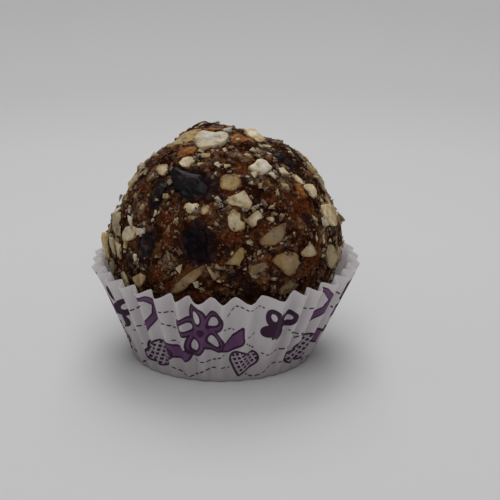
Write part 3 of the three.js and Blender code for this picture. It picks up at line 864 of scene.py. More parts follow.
def all_small_nuts(raisins, nuts):
    def fits(nut, small_nuts):
        high = height_of(nut["direction"]) > NUTS_ABOVE
        return high and clear_of(nut, nuts + raisins, SMALL_NUTS_APART)

    sizes = (SMALL_NUT_LENGTH, SHORT_SMALL_NUTS, NUT_SLENDERNESS)
    tints = [row[-1] for row in SMALL_NUTS]
    return scattered(SMALL_NUTS, SCATTERED_SMALL_NUTS, "small nuts", *sizes, tints, fits)


def all_patches():
    sizes = (PATCH_LENGTH, 1, PATCH_SLENDERNESS)
    kinds = [row[-1] for row in FRONT_PATCHES]
    return scattered(FRONT_PATCHES, SCATTERED_PATCHES, "patches", *sizes, kinds, lambda *_: True)


def make_object(name, points, faces, material, slot, attributes):
    """A smooth mesh from points in millimetres, riding on the object's one body."""
    mesh = bpy.data.meshes.new(name)
    mesh.from_pydata((np.asarray(points) * MM).tolist(), [], [list(face) for face in faces])
    for key, values in attributes.items():
        if np.ndim(values) == 2:
            rgba = np.column_stack([values, np.ones(len(values))]).astype(np.float32)
            mesh.attributes.new(key, "FLOAT_COLOR", "POINT").data.foreach_set("color", rgba.ravel())
        else:
            mesh.attributes.new(key, "FLOAT", "POINT").data.foreach_set("value", values)
    mesh.shade_smooth()
    mesh.materials.append(material)
    thing = bpy.data.objects.new(name, mesh)
    bpy.context.scene.collection.objects.link(thing)
    if slot:
        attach(thing, "root")
    return thing


def template_of(shape):
    """Points and faces of a mesh being edited, which is then let go."""
    shape.verts.index_update()
    points = np.array([vertex.co for vertex in shape.verts])
    faces = np.array([[vertex.index for vertex in face.verts] for face in shape.faces])
    shape.free()
    return points, faces


def sphere_template(subdivisions):
    """Points and triangles of a unit sphere."""
    shape = bmesh.new()
    bmesh.ops.create_icosphere(shape, subdivisions=subdivisions, radius=1)
    points, faces = template_of(shape)
    return unit(points), faces


def crumb_templates():
    """A few broken crumbs: hulls of uneven points, as unit shapes."""
    draw = draws_for("crumb shapes")
    templates = []
    for _ in range(CRUMB_SHAPES):
        shape = bmesh.new()
        for _ in range(CRUMB_CORNERS):
            shape.verts.new(any_direction(draw) * between(CRUMB_CORNER_REACH, next(draw)))
        hull = bmesh.ops.convex_hull(shape, input=shape.verts)
        bmesh.ops.delete(shape, geom=hull["geom_interior"], context="VERTS")
        templates.append(template_of(shape))
    return templates


def cube_sphere(steps, lift):
    """A unit sphere of square faces, finer towards its top as lift grows."""
    side = np.tan(np.linspace(-1, 1, steps + 1) * math.pi / 4)
    u, v = (grid.ravel() for grid in np.meshgrid(side, side, indexing="ij"))
    one = np.ones_like(u)
    sheets = [(one, u, v), (-one, v, u), (v, one, u), (u, -one, v), (u, v, one), (v, u, -one)]
    points = unit(np.concatenate([np.column_stack(sheet) for sheet in sheets]))
    points = unit(points + np.array([0, 0, lift]))
    corner = np.arange(steps)[:, None] * (steps + 1) + np.arange(steps)
    square = np.stack([corner, corner + steps + 1, corner + steps + 2, corner + 1], -1).reshape(-1, 4)
    faces = np.concatenate([square + i * len(u) for i in range(len(sheets))])
    decimals = 6
    rounded = np.round(points, decimals)
    _, first, place = np.unique(rounded, axis=0, return_index=True, return_inverse=True)
    return points[first], place.ravel()[faces]


class Pieces:
    """Many small closed shapes joined in one mesh."""

    def __init__(self):
        self.points = []
        self.faces = []
        self.colours = []
        self.bare = []
        self.count = 0

    def add(self, points, faces, colour, bare=1.0):
        self.points.append(points)
        self.faces.append(faces + self.count)
        self.colours.append(np.broadcast_to(colour, (len(points), 3)))
        self.bare.append(np.broadcast_to(bare, len(points)))
        self.count += len(points)

    def made(self, name, material):
        points, faces, tint, bare = map(
            np.concatenate, (self.points, self.faces, self.colours, self.bare)
        )
        return make_object(name, points, faces, material, "nut", {"bare": bare, "tint": tint})



def outline_reach(corners, angles):
    """How far a closed outline reaches from the origin at each angle."""
    tiny = 1e-9
    slack = 1e-6
    reach = np.zeros(len(angles))
    ray = np.column_stack([np.cos(angles), np.sin(angles)])
    for a, b in zip(corners, np.roll(corners, -1, axis=0)):
        edge = b - a
        crossing = ray[:, 0] * edge[1] - ray[:, 1] * edge[0]
        crossing = np.where(np.abs(crossing) < tiny, tiny, crossing)
        far = (a[0] * edge[1] - a[1] * edge[0]) / crossing
        share = (a[0] * ray[:, 1] - a[1] * ray[:, 0]) / crossing
        hit = (share >= -slack) & (share <= 1 + slack) & (far > 0)
        reach = np.where(hit, np.maximum(reach, far), reach)
    return reach


def soft_reach(corners, angles):
    """The outline's reach with its corners slightly rounded."""
    soften = math.radians(CORNER_SOFTNESS)
    turns = (-soften, 0, 0, soften)
    return sum(outline_reach(corners, angles + turn) for turn in turns) / len(turns)


def box_reach(sides, boxiness):
    """How far a rounded box reaches in each direction; the boxier, the sharper its corners."""
    return sum(np.abs(side) ** boxiness for side in sides) ** (-1 / boxiness)


def random_outline(length, width, draw):
    """The corners of a broken piece that fills a rounded rectangle unevenly."""
    count = CORNERS_AT_LEAST + int(MORE_CORNERS * next(draw))
    corners = []
    for i in range(count):
        turn = 2 * math.pi * (i + CORNER_JITTER * next(draw)) / count
        x = math.cos(turn)
        y = math.sin(turn)
        size = box_reach((x, y), OUTLINE_BOXINESS) * between(CORNER_REACH, next(draw)) / 2
        corners.append((x * length * size, y * width * size))
    return np.array(corners)


def outlined(template, corners, thickness, boxy):
    """A unit sphere given an outline and a thickness, and how near its rim each point is."""
    angles = np.arctan2(template[:, 1], template[:, 0])
    rim = np.hypot(template[:, 0], template[:, 1]) * boxy
    reach = soft_reach(corners, angles)
    height = thickness / 2 * boxy * template[:, 2]
    points = np.column_stack([reach * rim * np.cos(angles), reach * rim * np.sin(angles), height])
    return points, rim, reach.mean()


def chip_points(template, corners, thickness, draw):
    """A chip with that outline: flat broken faces above, blunt edges, sunk below."""
    flat = np.hypot(template[:, 0], template[:, 1])
    boxy = box_reach((flat, template[:, 2]), CHIP_BOXINESS)
    points, rim, size = outlined(template, corners, thickness, boxy)
    x, y, z = points.T
    for _ in range(CHIP_FACETS):
        turn = 2 * math.pi * next(draw)
        slope = between(FACET_SLOPE, next(draw))
        level = between(FACET_LEVEL, next(draw))
        top = thickness / 2 * (level + slope * (x * math.cos(turn) + y * math.sin(turn)) / size)
        z = np.minimum(z, np.maximum(top, FACET_LOWEST * thickness))
    return np.column_stack([x, y, z]), rim


def roughened(points, lift, grain, shift):
    """The points moved by smooth noise, so that faces and edges are uneven."""
    moved = points.copy()
    for i, point in enumerate(points):
        place = Vector(point) / grain + Vector((shift, shift, shift))
        moved[i] += lift * np.array(noise.noise_vector(place))
    return moved


def seen_axes(direction):
    """The axes of a piece whose outline is given as the front view shows it."""
    facing = max(direction.dot(TOWARDS), LEAST_FACING)
    right = RIGHT - direction.dot(RIGHT) / facing * TOWARDS
    up = UP - direction.dot(UP) / facing * TOWARDS
    return right, up, direction


def nut_chip(template, nut, index, draw):
    """The points of one broken nut on the ball, how bare each is, and its place along the nut."""
    if index in NUT_OUTLINES:
        corners = np.array(NUT_OUTLINES[index])
        middle = corners.mean(axis=0)
        corners = (corners - middle) * OUTLINE_GROWTH
        direction = seen_at(*middle)
        axes = seen_axes(direction)
    else:
        corners = random_outline(nut["length"], nut["width"], draw)
        direction = nut["direction"]
        axes = surface_axes(direction, nut["turn"])
    thickness = NUT_THICKNESS * nut["width"]
    radius = radius_at(direction)
    in_cup = BALL_CENTRE[2] + radius * direction[2] < CUP_REACH
    most = NUT_PROUD_IN_CUP if in_cup else NUT_MOST_PROUD.get(index, PLAIN_MOST_PROUD)
    proud = min(NUT_PROUD * thickness, most)
    flat, rim = chip_points(template, corners, thickness, draw)
    points = direction * (radius + proud - thickness / 2) + flat @ np.array(axes)
    for lift, grain, shift in NUT_ROUGHNESS:
        points = roughened(points, lift, grain, shift * index)
    height = np.linalg.norm(points, axis=1) - paste_radius(unit(points))
    bare = np.minimum(BARE_RIM - rim, (height + PASTE_LINE) / PASTE_FADE)
    bare += NUT_BARENESS.get(index, 0.0) - SMALL_NUT_STAIN * (nut["length"] < LARGE_NUT)
    return points + BALL_CENTRE, bare, flat[:, :2] / np.ptp(flat[:, 0])


def make_nuts(nuts, material):
    fine = sphere_template(3)
    coarse = sphere_template(2)
    pieces = Pieces()
    draw = draws_for("nut chips")
    for index, nut in enumerate(nuts):
        template, faces = fine if nut["length"] > LARGE_NUT else coarse
        points, bare, place = nut_chip(template, nut, index, draw)
        # Each nut's own tone, with painted light on some and painted shade on others
        shade = between(NUT_SHADE, next(draw)) * np.array(NUT_TONES_AND_PAINTED_LIGHT.get(index, 1.0))
        any_tint = (one_of(list(NUT_TINTS), next(draw)), 360 * next(draw))
        second, side = SECOND_TINTS.get(index, any_tint)
        along = place @ np.array([math.cos(math.radians(side)), math.sin(math.radians(side))])
        share = SECOND_TINT_SHARE * np.clip(along * SECOND_TINT_RISE + SECOND_TINT_START, 0, 1)
        tint = np.array(NUT_TINTS[nut["tint"]])
        tint = tint + (np.array(NUT_TINTS[second]) - tint) * share[:, None]
        pieces.add(points, faces, tint * shade, bare)
    pieces.made("nut_pieces", material)


def ovals_field(points, ovals, growth=0.0, reach=1.0, power=2):
    """How much each point lies in one of the ovals, grown by some mm, from 0 to 1."""
    field = np.zeros(len(points))
    for oval in ovals:
        along, across, out = surface_axes(oval["direction"], oval["turn"])
        x = points @ along / (oval["length"] / 2 + growth)
        y = points @ across / (oval["width"] / 2 + growth)
        inside = np.exp(-((np.hypot(x, y) / reach) ** power))
        field = np.maximum(field, inside * (points @ out > 0))
    return field


def patch_field(points, patches, kind):
    return ovals_field(points, [patch for patch in patches if patch["tint"] == kind])


def raisin_body(template, raisin, index):
    """The raisin's plain form in its own axes, and the axes."""
    boxy = box_reach(template.T, RAISIN_BOXINESS)
    if index in RAISIN_OUTLINES:
        corners = np.array(RAISIN_OUTLINES[index])
        middle = corners.mean(axis=0)
        points, _, _ = outlined(template, corners - middle, RAISIN_DEPTH, boxy)
        return points, seen_axes(seen_at(*middle))
    half = np.array([raisin["length"], raisin["width"], RAISIN_DEPTH]) / 2
    return template * boxy[:, None] * half, surface_axes(raisin["direction"], raisin["turn"])


def raisin_points(template, raisin, index):
    """A raisin's wrinkled skin: flattened, with folds that run mostly along it."""
    points, axes = raisin_body(template, raisin, index)
    out = axes[2]
    depth = 1 if index in PLUMP_RAISINS else THIN_RAISIN_FOLDS
    moved = points.copy()
    for i, point in enumerate(points):
        place = Vector(point * FOLD_CHANGE + [FOLD_SHIFT * index, 0, 0])
        bend = FOLD_BEND * noise.noise(place * FOLD_BEND_CHANGE)
        small_place = place * SMALL_FOLD_CHANGE + Vector((SMALL_FOLD_SHIFT, bend, 0))
        large = 1 - 2 * abs(noise.noise(place + Vector((bend, bend, bend))))
        small = 1 - 2 * abs(noise.noise(small_place))
        folds = LARGE_FOLD * max(large, 0) ** 3 + SMALL_FOLD * max(small, 0) ** 3
        uneven = noise.noise(Vector(point) / RAISIN_UNEVEN_SIZE + Vector((index, 0, 0)))
        lift = folds * depth + RAISIN_UNEVENNESS * uneven - RAISIN_SHRINKAGE
        moved[i] += lift * template[i]
    sink = radius_at(out) + RAISIN_PROUD - RAISIN_DEPTH / 2
    return out * sink + moved @ np.array(axes) + BALL_CENTRE


def make_raisins(raisins, material):
    template, faces = sphere_template(5)
    for index, raisin in enumerate(raisins):
        name = f"raisin_{index + 1}"
        points = raisin_points(template, raisin, index)
        looks = {
            "smeared": np.full(len(points), float(index not in PLUMP_RAISINS)),
            "sheen": np.full(len(points), RAISIN_SHEEN.get(index, PLAIN_SHEEN)),
        }
        skin = make_object(f"{name}_skin", points, faces, material, "raisin", looks)
        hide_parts(name)


def paste_grain(point):
    """Lift of the chopped paste at a point, and a value of its own for each lump and each bit."""
    place = Vector(point)
    warp = noise.noise_vector(place / PASTE_BEND_SIZE) * PASTE_BEND
    lift = sum(wave * noise.noise(place / size) for size, wave in PASTE_WAVES) - PASTE_SINK
    values = []
    for size, bend, dome, step in PASTE_GRAINS:
        far, near = noise.voronoi(place / size + warp * bend)
        values.append(noise.cell(near[0] * CELL_SPREAD))
        lift += dome * (1 - far[0] / DOME_REACH) + step * values[-1]
    return lift, *values


def make_paste(raisins, nuts, patches, material):
    directions, faces = cube_sphere(PASTE_STEPS, FINER_TOP)
    parts = np.array_split(directions, PASTE_PARTS)
    radius = np.concatenate([paste_radius(part) for part in parts])
    smooth = directions * radius[:, None]
    lift, lump, bit = np.array([paste_grain(point) for point in smooth]).T
    large_nuts = [nut for nut in nuts if nut["length"] > LARGE_NUT]
    fields = {kind: patch_field(smooth, patches, kind) for kind in PATCH_KINDS}
    fields["lump"] = lump
    fields["bit"] = bit
    fields["halo"] = ovals_field(smooth, large_nuts, HALO_WIDTH)
    fields["juice"] = ovals_field(smooth, raisins, **JUICE)
    grain = 1 - SMOOTHED * np.maximum(fields["orange"], fields["halo"])
    radius += lift * grain + ORANGE_RISE * fields["orange"] - HALO_DEPTH * fields["halo"]
    radius -= SOCKET_DEPTH * ovals_field(smooth, raisins, **SOCKET)
    points = directions * radius[:, None] + BALL_CENTRE
    points[:, 2] = np.maximum(points[:, 2], FLOOR + GAP)
    paste = make_object("paste_core", points, faces, material, "date_paste", fields)
    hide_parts("laddu")


def lies_on(directions, pieces, share):
    """Whether each direction is within that share of a piece's length from its middle."""
    middles = np.array([piece["direction"] for piece in pieces])
    room = share * np.array([piece["length"] for piece in pieces])
    away = np.arccos(np.clip(directions @ middles.T, -1, 1)) * BALL_RADIUS
    return (away < room).any(axis=1)


def crumb_places(raisins, nuts, patches, rng):
    """Directions of the crumbs: in loose clusters, thickest in the mealy patches."""
    directions = unit(rng.normal(size=(CRUMB_TRIES, 3)))
    points = directions * BALL_RADIUS
    cluster = np.array([noise.noise(Vector(point / CLUSTER_SIZE)) for point in points])
    meal, orange, dark = (patch_field(points, patches, kind) for kind in ("meal", "orange", "dark"))
    thick = cluster + CRUMBS_ANYWHERE + CRUMBS_IN_MEAL * meal - FEWER_IN_BARE * np.maximum(orange, dark)
    keep = (height_of(directions) > NUTS_ABOVE) & (thick > CRUMB_THINNING * rng.random(CRUMB_TRIES))
    keep &= ~lies_on(directions, [nut for nut in nuts if nut["length"] > COVERING_NUT], NUT_COVER)
    keep &= ~lies_on(directions, raisins, RAISIN_COVER) | (rng.random(CRUMB_TRIES) < CRUMBS_ON_RAISINS)
    return directions[keep][:CRUMBS]


def add_crumb(pieces, template, middle, size, axes, colour):
    """A crumb of some size along its axes, with its middle measured from the ball's centre."""
    shape, faces = template
    pieces.add(middle + shape * size / 2 @ np.array(axes) + BALL_CENTRE, faces, colour)


def place_meal(pieces, templates, direction, rng):
    """A tilted crumb of nut meal or paste."""
    length = between(CRUMB_LENGTH, rng.random() ** SHORT_CRUMBS)
    along, _, out = surface_axes(direction, 360 * rng.random())
    out = unit(out + rng.normal(size=3) * CRUMB_TILT)
    across = unit(np.cross(out, along))
    axes = (np.cross(across, out), across, out)
    template = templates[rng.integers(len(templates))]
    lift = CRUMB_LIFT + rng.normal() * CRUMB_UNEVENNESS - CRUMB_SINK * length
    tint = np.array(CRUMB_TINTS[rng.choice(len(CRUMB_TINTS), p=CRUMB_SHARES)])
    shade = between([SOFT_CRUMB_SHADE, 1.0], min(1.0, length / SOFT_CRUMB_LENGTH))
    shade *= between(CRUMB_SHADE, rng.random())
    middle = direction * (radius_at(direction) + lift)
    add_crumb(pieces, template, middle, CRUMB_FORM * length, axes, tint * shade)


def place_bit(pieces, templates, bit, rng):
    """An angular bit of nut with a few crumbs of it beside it."""
    tint = np.array(NUT_TINTS[bit["tint"]])
    thickness = NUT_THICKNESS * (bit["length"] + bit["width"]) / 2
    size = np.array([bit["length"], bit["width"], thickness])
    axes = surface_axes(bit["direction"], bit["turn"])
    along, across, out = axes
    for crumb in range(1 + BIT_CRUMBS):
        shift = rng.normal(size=2) * BIT_CRUMB_SPREAD * size[:2] * (crumb > 0)
        share = between(BIT_CRUMB_SIZE, rng.random()) if crumb else 1.0
        template = templates[rng.integers(len(templates))]
        lift = CRUMB_LIFT + CRUMB_UNEVENNESS * rng.random()
        middle = out * (radius_at(out) + lift) + along * shift[0] + across * shift[1]
        shade = (BIT_CRUMB_SHADE if crumb else 1.0) * between(BIT_SHADE, rng.random())
        add_crumb(pieces, template, middle, size * share * BIT_GROWTH, axes, tint * shade)


def place_edge_crumbs(pieces, templates, nut, rng):
    """Small crumbs broken off along a nut's edge."""
    tint = np.array(NUT_TINTS[nut["tint"]])
    along, across, out = surface_axes(nut["direction"], nut["turn"])
    for _ in range(int(EDGE_CRUMBS * nut["length"])):
        turn = 2 * math.pi * rng.random()
        reach = between(EDGE_CRUMB_REACH, rng.random()) / 2
        shift = along * nut["length"] * math.cos(turn) + across * nut["width"] * math.sin(turn)
        direction = unit(out * BALL_RADIUS + shift * reach)
        length = between(EDGE_CRUMB_LENGTH, rng.random() ** 2)
        template = templates[rng.integers(len(templates))]
        middle = direction * (radius_at(direction) + EDGE_CRUMB_LIFT * rng.random())
        axes = surface_axes(direction, 360 * rng.random())
        shade = between(EDGE_CRUMB_SHADE, rng.random())
        add_crumb(pieces, template, middle, CRUMB_FORM * length, axes, tint * shade)


def make_crumbs(raisins, nuts, patches, material):
    """Nut meal, small bits of nut and bits of paste pressed into the surface."""
    templates = crumb_templates()
    rng = np.random.default_rng(SEEDS["crumbs"])
    pieces = Pieces()
    for direction in crumb_places(raisins, nuts, patches, rng):
        place_meal(pieces, templates, direction, rng)
    for bit in all_small_nuts(raisins, nuts):
        place_bit(pieces, templates, bit, rng)
    for nut in nuts:
        place_edge_crumbs(pieces, templates, nut, rng)
    pieces.made("nut_crumbs", material).data.shade_flat()


def inner_folds():
    """The inner folds all round the cup, as degrees round from the front, to the right."""
    draw = draws_for("folds")
    last = FRONT_FOLDS[-1]
    rest = PLEATS - len(FRONT_FOLDS) + 1
    step = (FRONT_FOLDS[0] + 360 - last) / rest
    return FRONT_FOLDS + [
        last + i * step + FOLD_JITTER * (2 * next(draw) - 1) for i in range(1, rest)
    ]


def pleat_columns():
    """The angle and the wave of each column of the wall, -1 at inner folds and 1 at outer ones."""
    folds = inner_folds()
    draw = draws_for("pleats")
    columns = []
    for fold, following in zip(folds, folds[1:] + [folds[0] + 360]):
        size = math.sqrt((following - fold) / (360 / PLEATS))
        skew = PLEAT_SKEW * (2 * next(draw) - 1)
        depth = between(PLEAT_DEPTH, next(draw))
        for j in range(FOLD_STEPS):
            share = j / FOLD_STEPS
            turn = share + skew * math.sin(2 * math.pi * share)
            straight = 1 - 4 * abs(turn - 0.5)
            curved = -math.cos(2 * math.pi * turn)
            wave = straight + (curved - straight) * PLEAT_ROUNDNESS
            angle = math.radians(fold + (following - fold) * share)
            columns.append((angle, wave * size * depth if wave > 0 else wave))
    return np.array(columns).T


def ring(angles, radius, height, lean=0.0):
    """Points of one ring of the cup, at angles from its front."""
    right = radius * np.sin(angles) + lean
    return np.column_stack([right, -radius * np.cos(angles), np.broadcast_to(height, len(angles))])


def wall_ring(angles, waves, rise, inset):
    """One ring of the paper wall: rise runs from 0 at the base to 1 at the rim."""
    pleat = RIM_PLEAT * rise**PLEAT_FADE * waves
    pinch = LEFT_PINCH * np.maximum(0, -np.sin(angles)) ** 3 * (1 - (2 * rise - 1) ** 4)
    radius = BASE_RADIUS + (RIM_RADIUS - BASE_RADIUS) * rise + pleat - pinch - inset
    height = WALL_HEIGHT * rise - RIM_DIP * waves * rise**2
    corner = np.clip(1 - height / BASE_ROUNDING, 0, 1)
    almost = 0.999  # keeps the rounding from starting quite flat
    radius = radius - BASE_ROUNDING * (1 - np.sqrt(1 - corner**2 * almost))
    return ring(angles, radius, height, RIM_LEAN * rise)


def make_cup(material):
    angles, waves = pleat_columns()
    count = len(angles)
    outer_rises = np.concatenate([CORNER_RISES, np.linspace(WALL_START, 1, WALL_ROWS)])
    inner_rises = np.linspace(1, WALL_START, INNER_ROWS)
    inside_radius = BASE_RADIUS - PAPER_THICKNESS - BASE_ROUNDING
    rings = [ring(angles, BASE_RADIUS * share, 0.0) for share in UNDERSIDE_RINGS]
    rings += [wall_ring(angles, waves, rise, 0) for rise in outer_rises]
    rings += [wall_ring(angles, waves, rise, PAPER_THICKNESS) for rise in inner_rises]
    rings += [ring(angles, inside_radius * share, PAPER_THICKNESS) for share in INSIDE_RINGS]
    points = np.concatenate([[[0, 0, 0]], *rings, [[0, 0, PAPER_THICKNESS]]])
    columns = np.arange(count)
    following = (columns + 1) % count
    faces = [(0, 1 + b, 1 + a) for a, b in zip(columns, following)]
    for row in range(len(rings) - 1):
        low = 1 + row * count
        high = low + count
        faces += list(zip(low + columns, low + following, high + following, high + columns))
    top = len(points) - 1
    faces += [(top - count + a, top - count + b, top) for a, b in zip(columns, following)]

    slant = math.hypot(RIM_RADIUS - BASE_RADIUS, WALL_HEIGHT)
    flat_radius = BASE_RADIUS + slant * np.repeat(outer_rises, count)
    flat_angle = np.tile(angles, len(outer_rises))
    first = 1 + len(UNDERSIDE_RINGS) * count
    inks = {}
    for name, field in zip(("dark_ink", "mid_ink"), print_fields(flat_radius, flat_angle)):
        inks[name] = np.ones(len(points))
        inks[name][first : first + len(field)] = field
    cup = make_object("fluted_cup", points, faces, material, "printed_paper", inks)
    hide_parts("paper_cup")


# Signed distances to the shapes of the print, in mm of flat paper, below 0 inside


def turned(x, y, degrees):
    """The points' places in axes turned by some degrees."""
    spin = math.radians(degrees)
    return x * math.cos(spin) + y * math.sin(spin), y * math.cos(spin) - x * math.sin(spin)


def bar(x, y, a, b, start_width, end_width):
    """A round-ended bar from a to b that widens along its length."""
    span = np.array(b) - np.array(a)
    share = np.clip(((x - a[0]) * span[0] + (y - a[1]) * span[1]) / (span @ span), 0, 1)
    far = np.hypot(x - a[0] - share * span[0], y - a[1] - share * span[1])
    return far - between((start_width, end_width), share) / 2


def path_band(x, y, points, widths):
    pieces = zip(points, points[1:], widths, widths[1:])
    return np.minimum.reduce([bar(x, y, a, b, start, end) for a, b, start, end in pieces])


def heart(x, y, size):
    x = np.abs(x) / size
    y = y / size + 0.55
    lobe = np.hypot(x - 0.25, y - 0.75) - math.sqrt(2) / 4
    low = np.maximum(x + y, 0) / 2
    side = np.minimum(np.hypot(x, y - 1), np.hypot(x - low, y - low)) * np.sign(x - y)
    return size * np.where(x + y > 1, lobe, side)


def ellipse(x, y, centre, radii, turn=0):
    """About how far each point is outside an ellipse's edge."""
    across, above = turned(x - centre[0], y - centre[1], turn)
    return (np.hypot(across / radii[0], above / radii[1]) - 1) * min(radii)


def checked(x, y, edge):
    """The inks of a shape filled with small dark checks on a thin wash."""
    off_lines = [side - CHECK_PITCH * np.round(side / CHECK_PITCH) for side in turned(x, y, 45)]
    checks = np.maximum.reduce(np.abs(off_lines)) - CHECK_SIDE / 2
    dark = np.minimum(np.abs(edge) - STROKE / 2, np.maximum(edge + CHECK_MARGIN, checks))
    return dark, np.maximum(edge, THIN_WASH), edge


def checked_heart(x, y):
    return checked(x, y, heart(x, y, HEART_SIZE))


def checked_cloud(x, y):
    puffs = [(-2.7, -0.4, 1.6), (-1.1, 1.1, 1.9), (1.3, 1.2, 1.7), (2.8, -0.3, 1.5), (0.2, -1.0, 2.0)]
    edge = np.minimum.reduce([np.hypot(x - across, y - above) - size for across, above, size in puffs])
    return checked(x, y, edge)


def dark_butterfly(x, y):
    """A dark butterfly with a pale spot in each upper wing."""
    side = np.abs(x)
    upper_wing = ellipse(side, y, (2.5, 1.5), (2.6, 1.9), 35)
    lower_wing = ellipse(side, y, (1.8, -1.7), (1.9, 1.5), -35)
    body = bar(x, y, (0, -2.6), (0, 2.6), 1.1, 1.1)
    edge = np.minimum.reduce([upper_wing, lower_wing, body])
    spot = ellipse(side, y, (2.9, 1.8), (1.0, 0.6), 35)
    return np.maximum(edge, -spot), np.full_like(x, NO_INK), edge


def open_flower(x, y):
    """A flower of five open petals with a leaf on each side, in mid ink with dark edges."""
    petals = []
    hollows = []
    for turn in range(90, 450, 72):
        along, beside = turned(x, y, turn)
        petals.append(ellipse(along, beside, (3.5, 0), (3.2, 2.3)))
        hollows.append(ellipse(along, beside, (4.0, 0), (1.9, 1.2)))
    outer = np.minimum.reduce(petals)
    petal_ring = np.maximum(outer, -np.minimum.reduce(hollows))
    stem = [(2.6, -4.4), (5.4, -5.9), (8.0, -5.3), (10.4, -3.0)]
    leaf = np.maximum(path_band(np.abs(x), y, stem, [0.5, 2.6, 2.9, 0.3]), -outer)
    middle = np.hypot(x, y) - 1.0
    lines = np.minimum(np.abs(petal_ring), np.abs(leaf)) - STROKE / 2
    return np.minimum(lines, middle), np.minimum(petal_ring, leaf), np.minimum(outer, leaf)


def ribbon_curl(x, y):
    """A curling end of ribbon."""
    bends = [(-2.2, -6.0), (-2.9, -3.4), (-1.2, -1.4), (1.4, 0.2), (2.4, 2.6), (0.9, 4.6), (-1.2, 5.4)]
    band = path_band(x, y, bends, [0.5, 1.0, 1.5, 1.5, 1.3, 0.9, 0.4])
    return np.abs(band) - RIBBON_STROKE / 2, band, band


# Motif, degrees round from the front to the right, mm out from the base's centre, turn
MOTIFS = [
    (open_flower, -11, 30.0, 12),
    (dark_butterfly, 27, 30.6, -18),
    (checked_cloud, -39, 22.6, 20),
    (checked_heart, 12, 21.8, -12),
    (ribbon_curl, 52, 31.4, 10),
]


def added_waves(turns, waves):
    return sum(lift * np.sin(number * turns + start) for lift, number, start in waves)


def dashes():
    """The two ends of each dash of the wandering lines round the cup."""
    turns = np.linspace(0, 2 * math.pi, STITCH_STEPS)
    ends = []
    for out, in_and_out, to_and_fro in STITCHES:
        turn = turns + added_waves(turns, to_and_fro)
        reach = out + added_waves(turns, in_and_out)
        path = np.array([reach * np.sin(turn), reach * np.cos(turn)])
        steps = np.hypot(*np.diff(path))
        along = np.concatenate([[0], np.cumsum(steps)])
        starts = np.arange(0, along[-1] - DASH_PERIOD, DASH_PERIOD)
        first, last = (
            np.column_stack([np.interp(starts + offset, along, side) for side in path])
            for offset in (0, DASH_LENGTH)
        )
        ends += list(zip(first, last))
    return ends


def print_fields(flat_radius, flat_angle):
    """Distances to the dark ink and the mid ink at points of flat paper."""
    x = flat_radius * np.sin(flat_angle)
    y = flat_radius * np.cos(flat_angle)
    dark, mid, motifs = np.full((3, len(x)), NO_INK)
    for motif, place, out, turn in MOTIFS:
        for repeat in range(0, 360, MOTIF_REPEAT):
            centre = math.radians(place + repeat)
            right = flat_radius * np.sin(flat_angle - centre)
            above = flat_radius * np.cos(flat_angle - centre) - out
            near = np.hypot(right, above) < MOTIF_REACH
            parts = motif(*turned(right[near], above[near], turn))
            for field, part in zip((dark, mid, motifs), parts):
                field[near] = np.minimum(field[near], part)
    for a, b in dashes():
        near = (np.hypot(x - a[0], y - a[1]) < DASH_REACH) & (motifs > CLEAR_OF_MOTIFS)
        if near.any():
            stitch = bar(x[near], y[near], a, b, DASH_WIDTH, DASH_WIDTH)
            dark[near] = np.minimum(dark[near], stitch)
    return np.clip(dark, -1, 1), np.clip(mid, -1, 1)


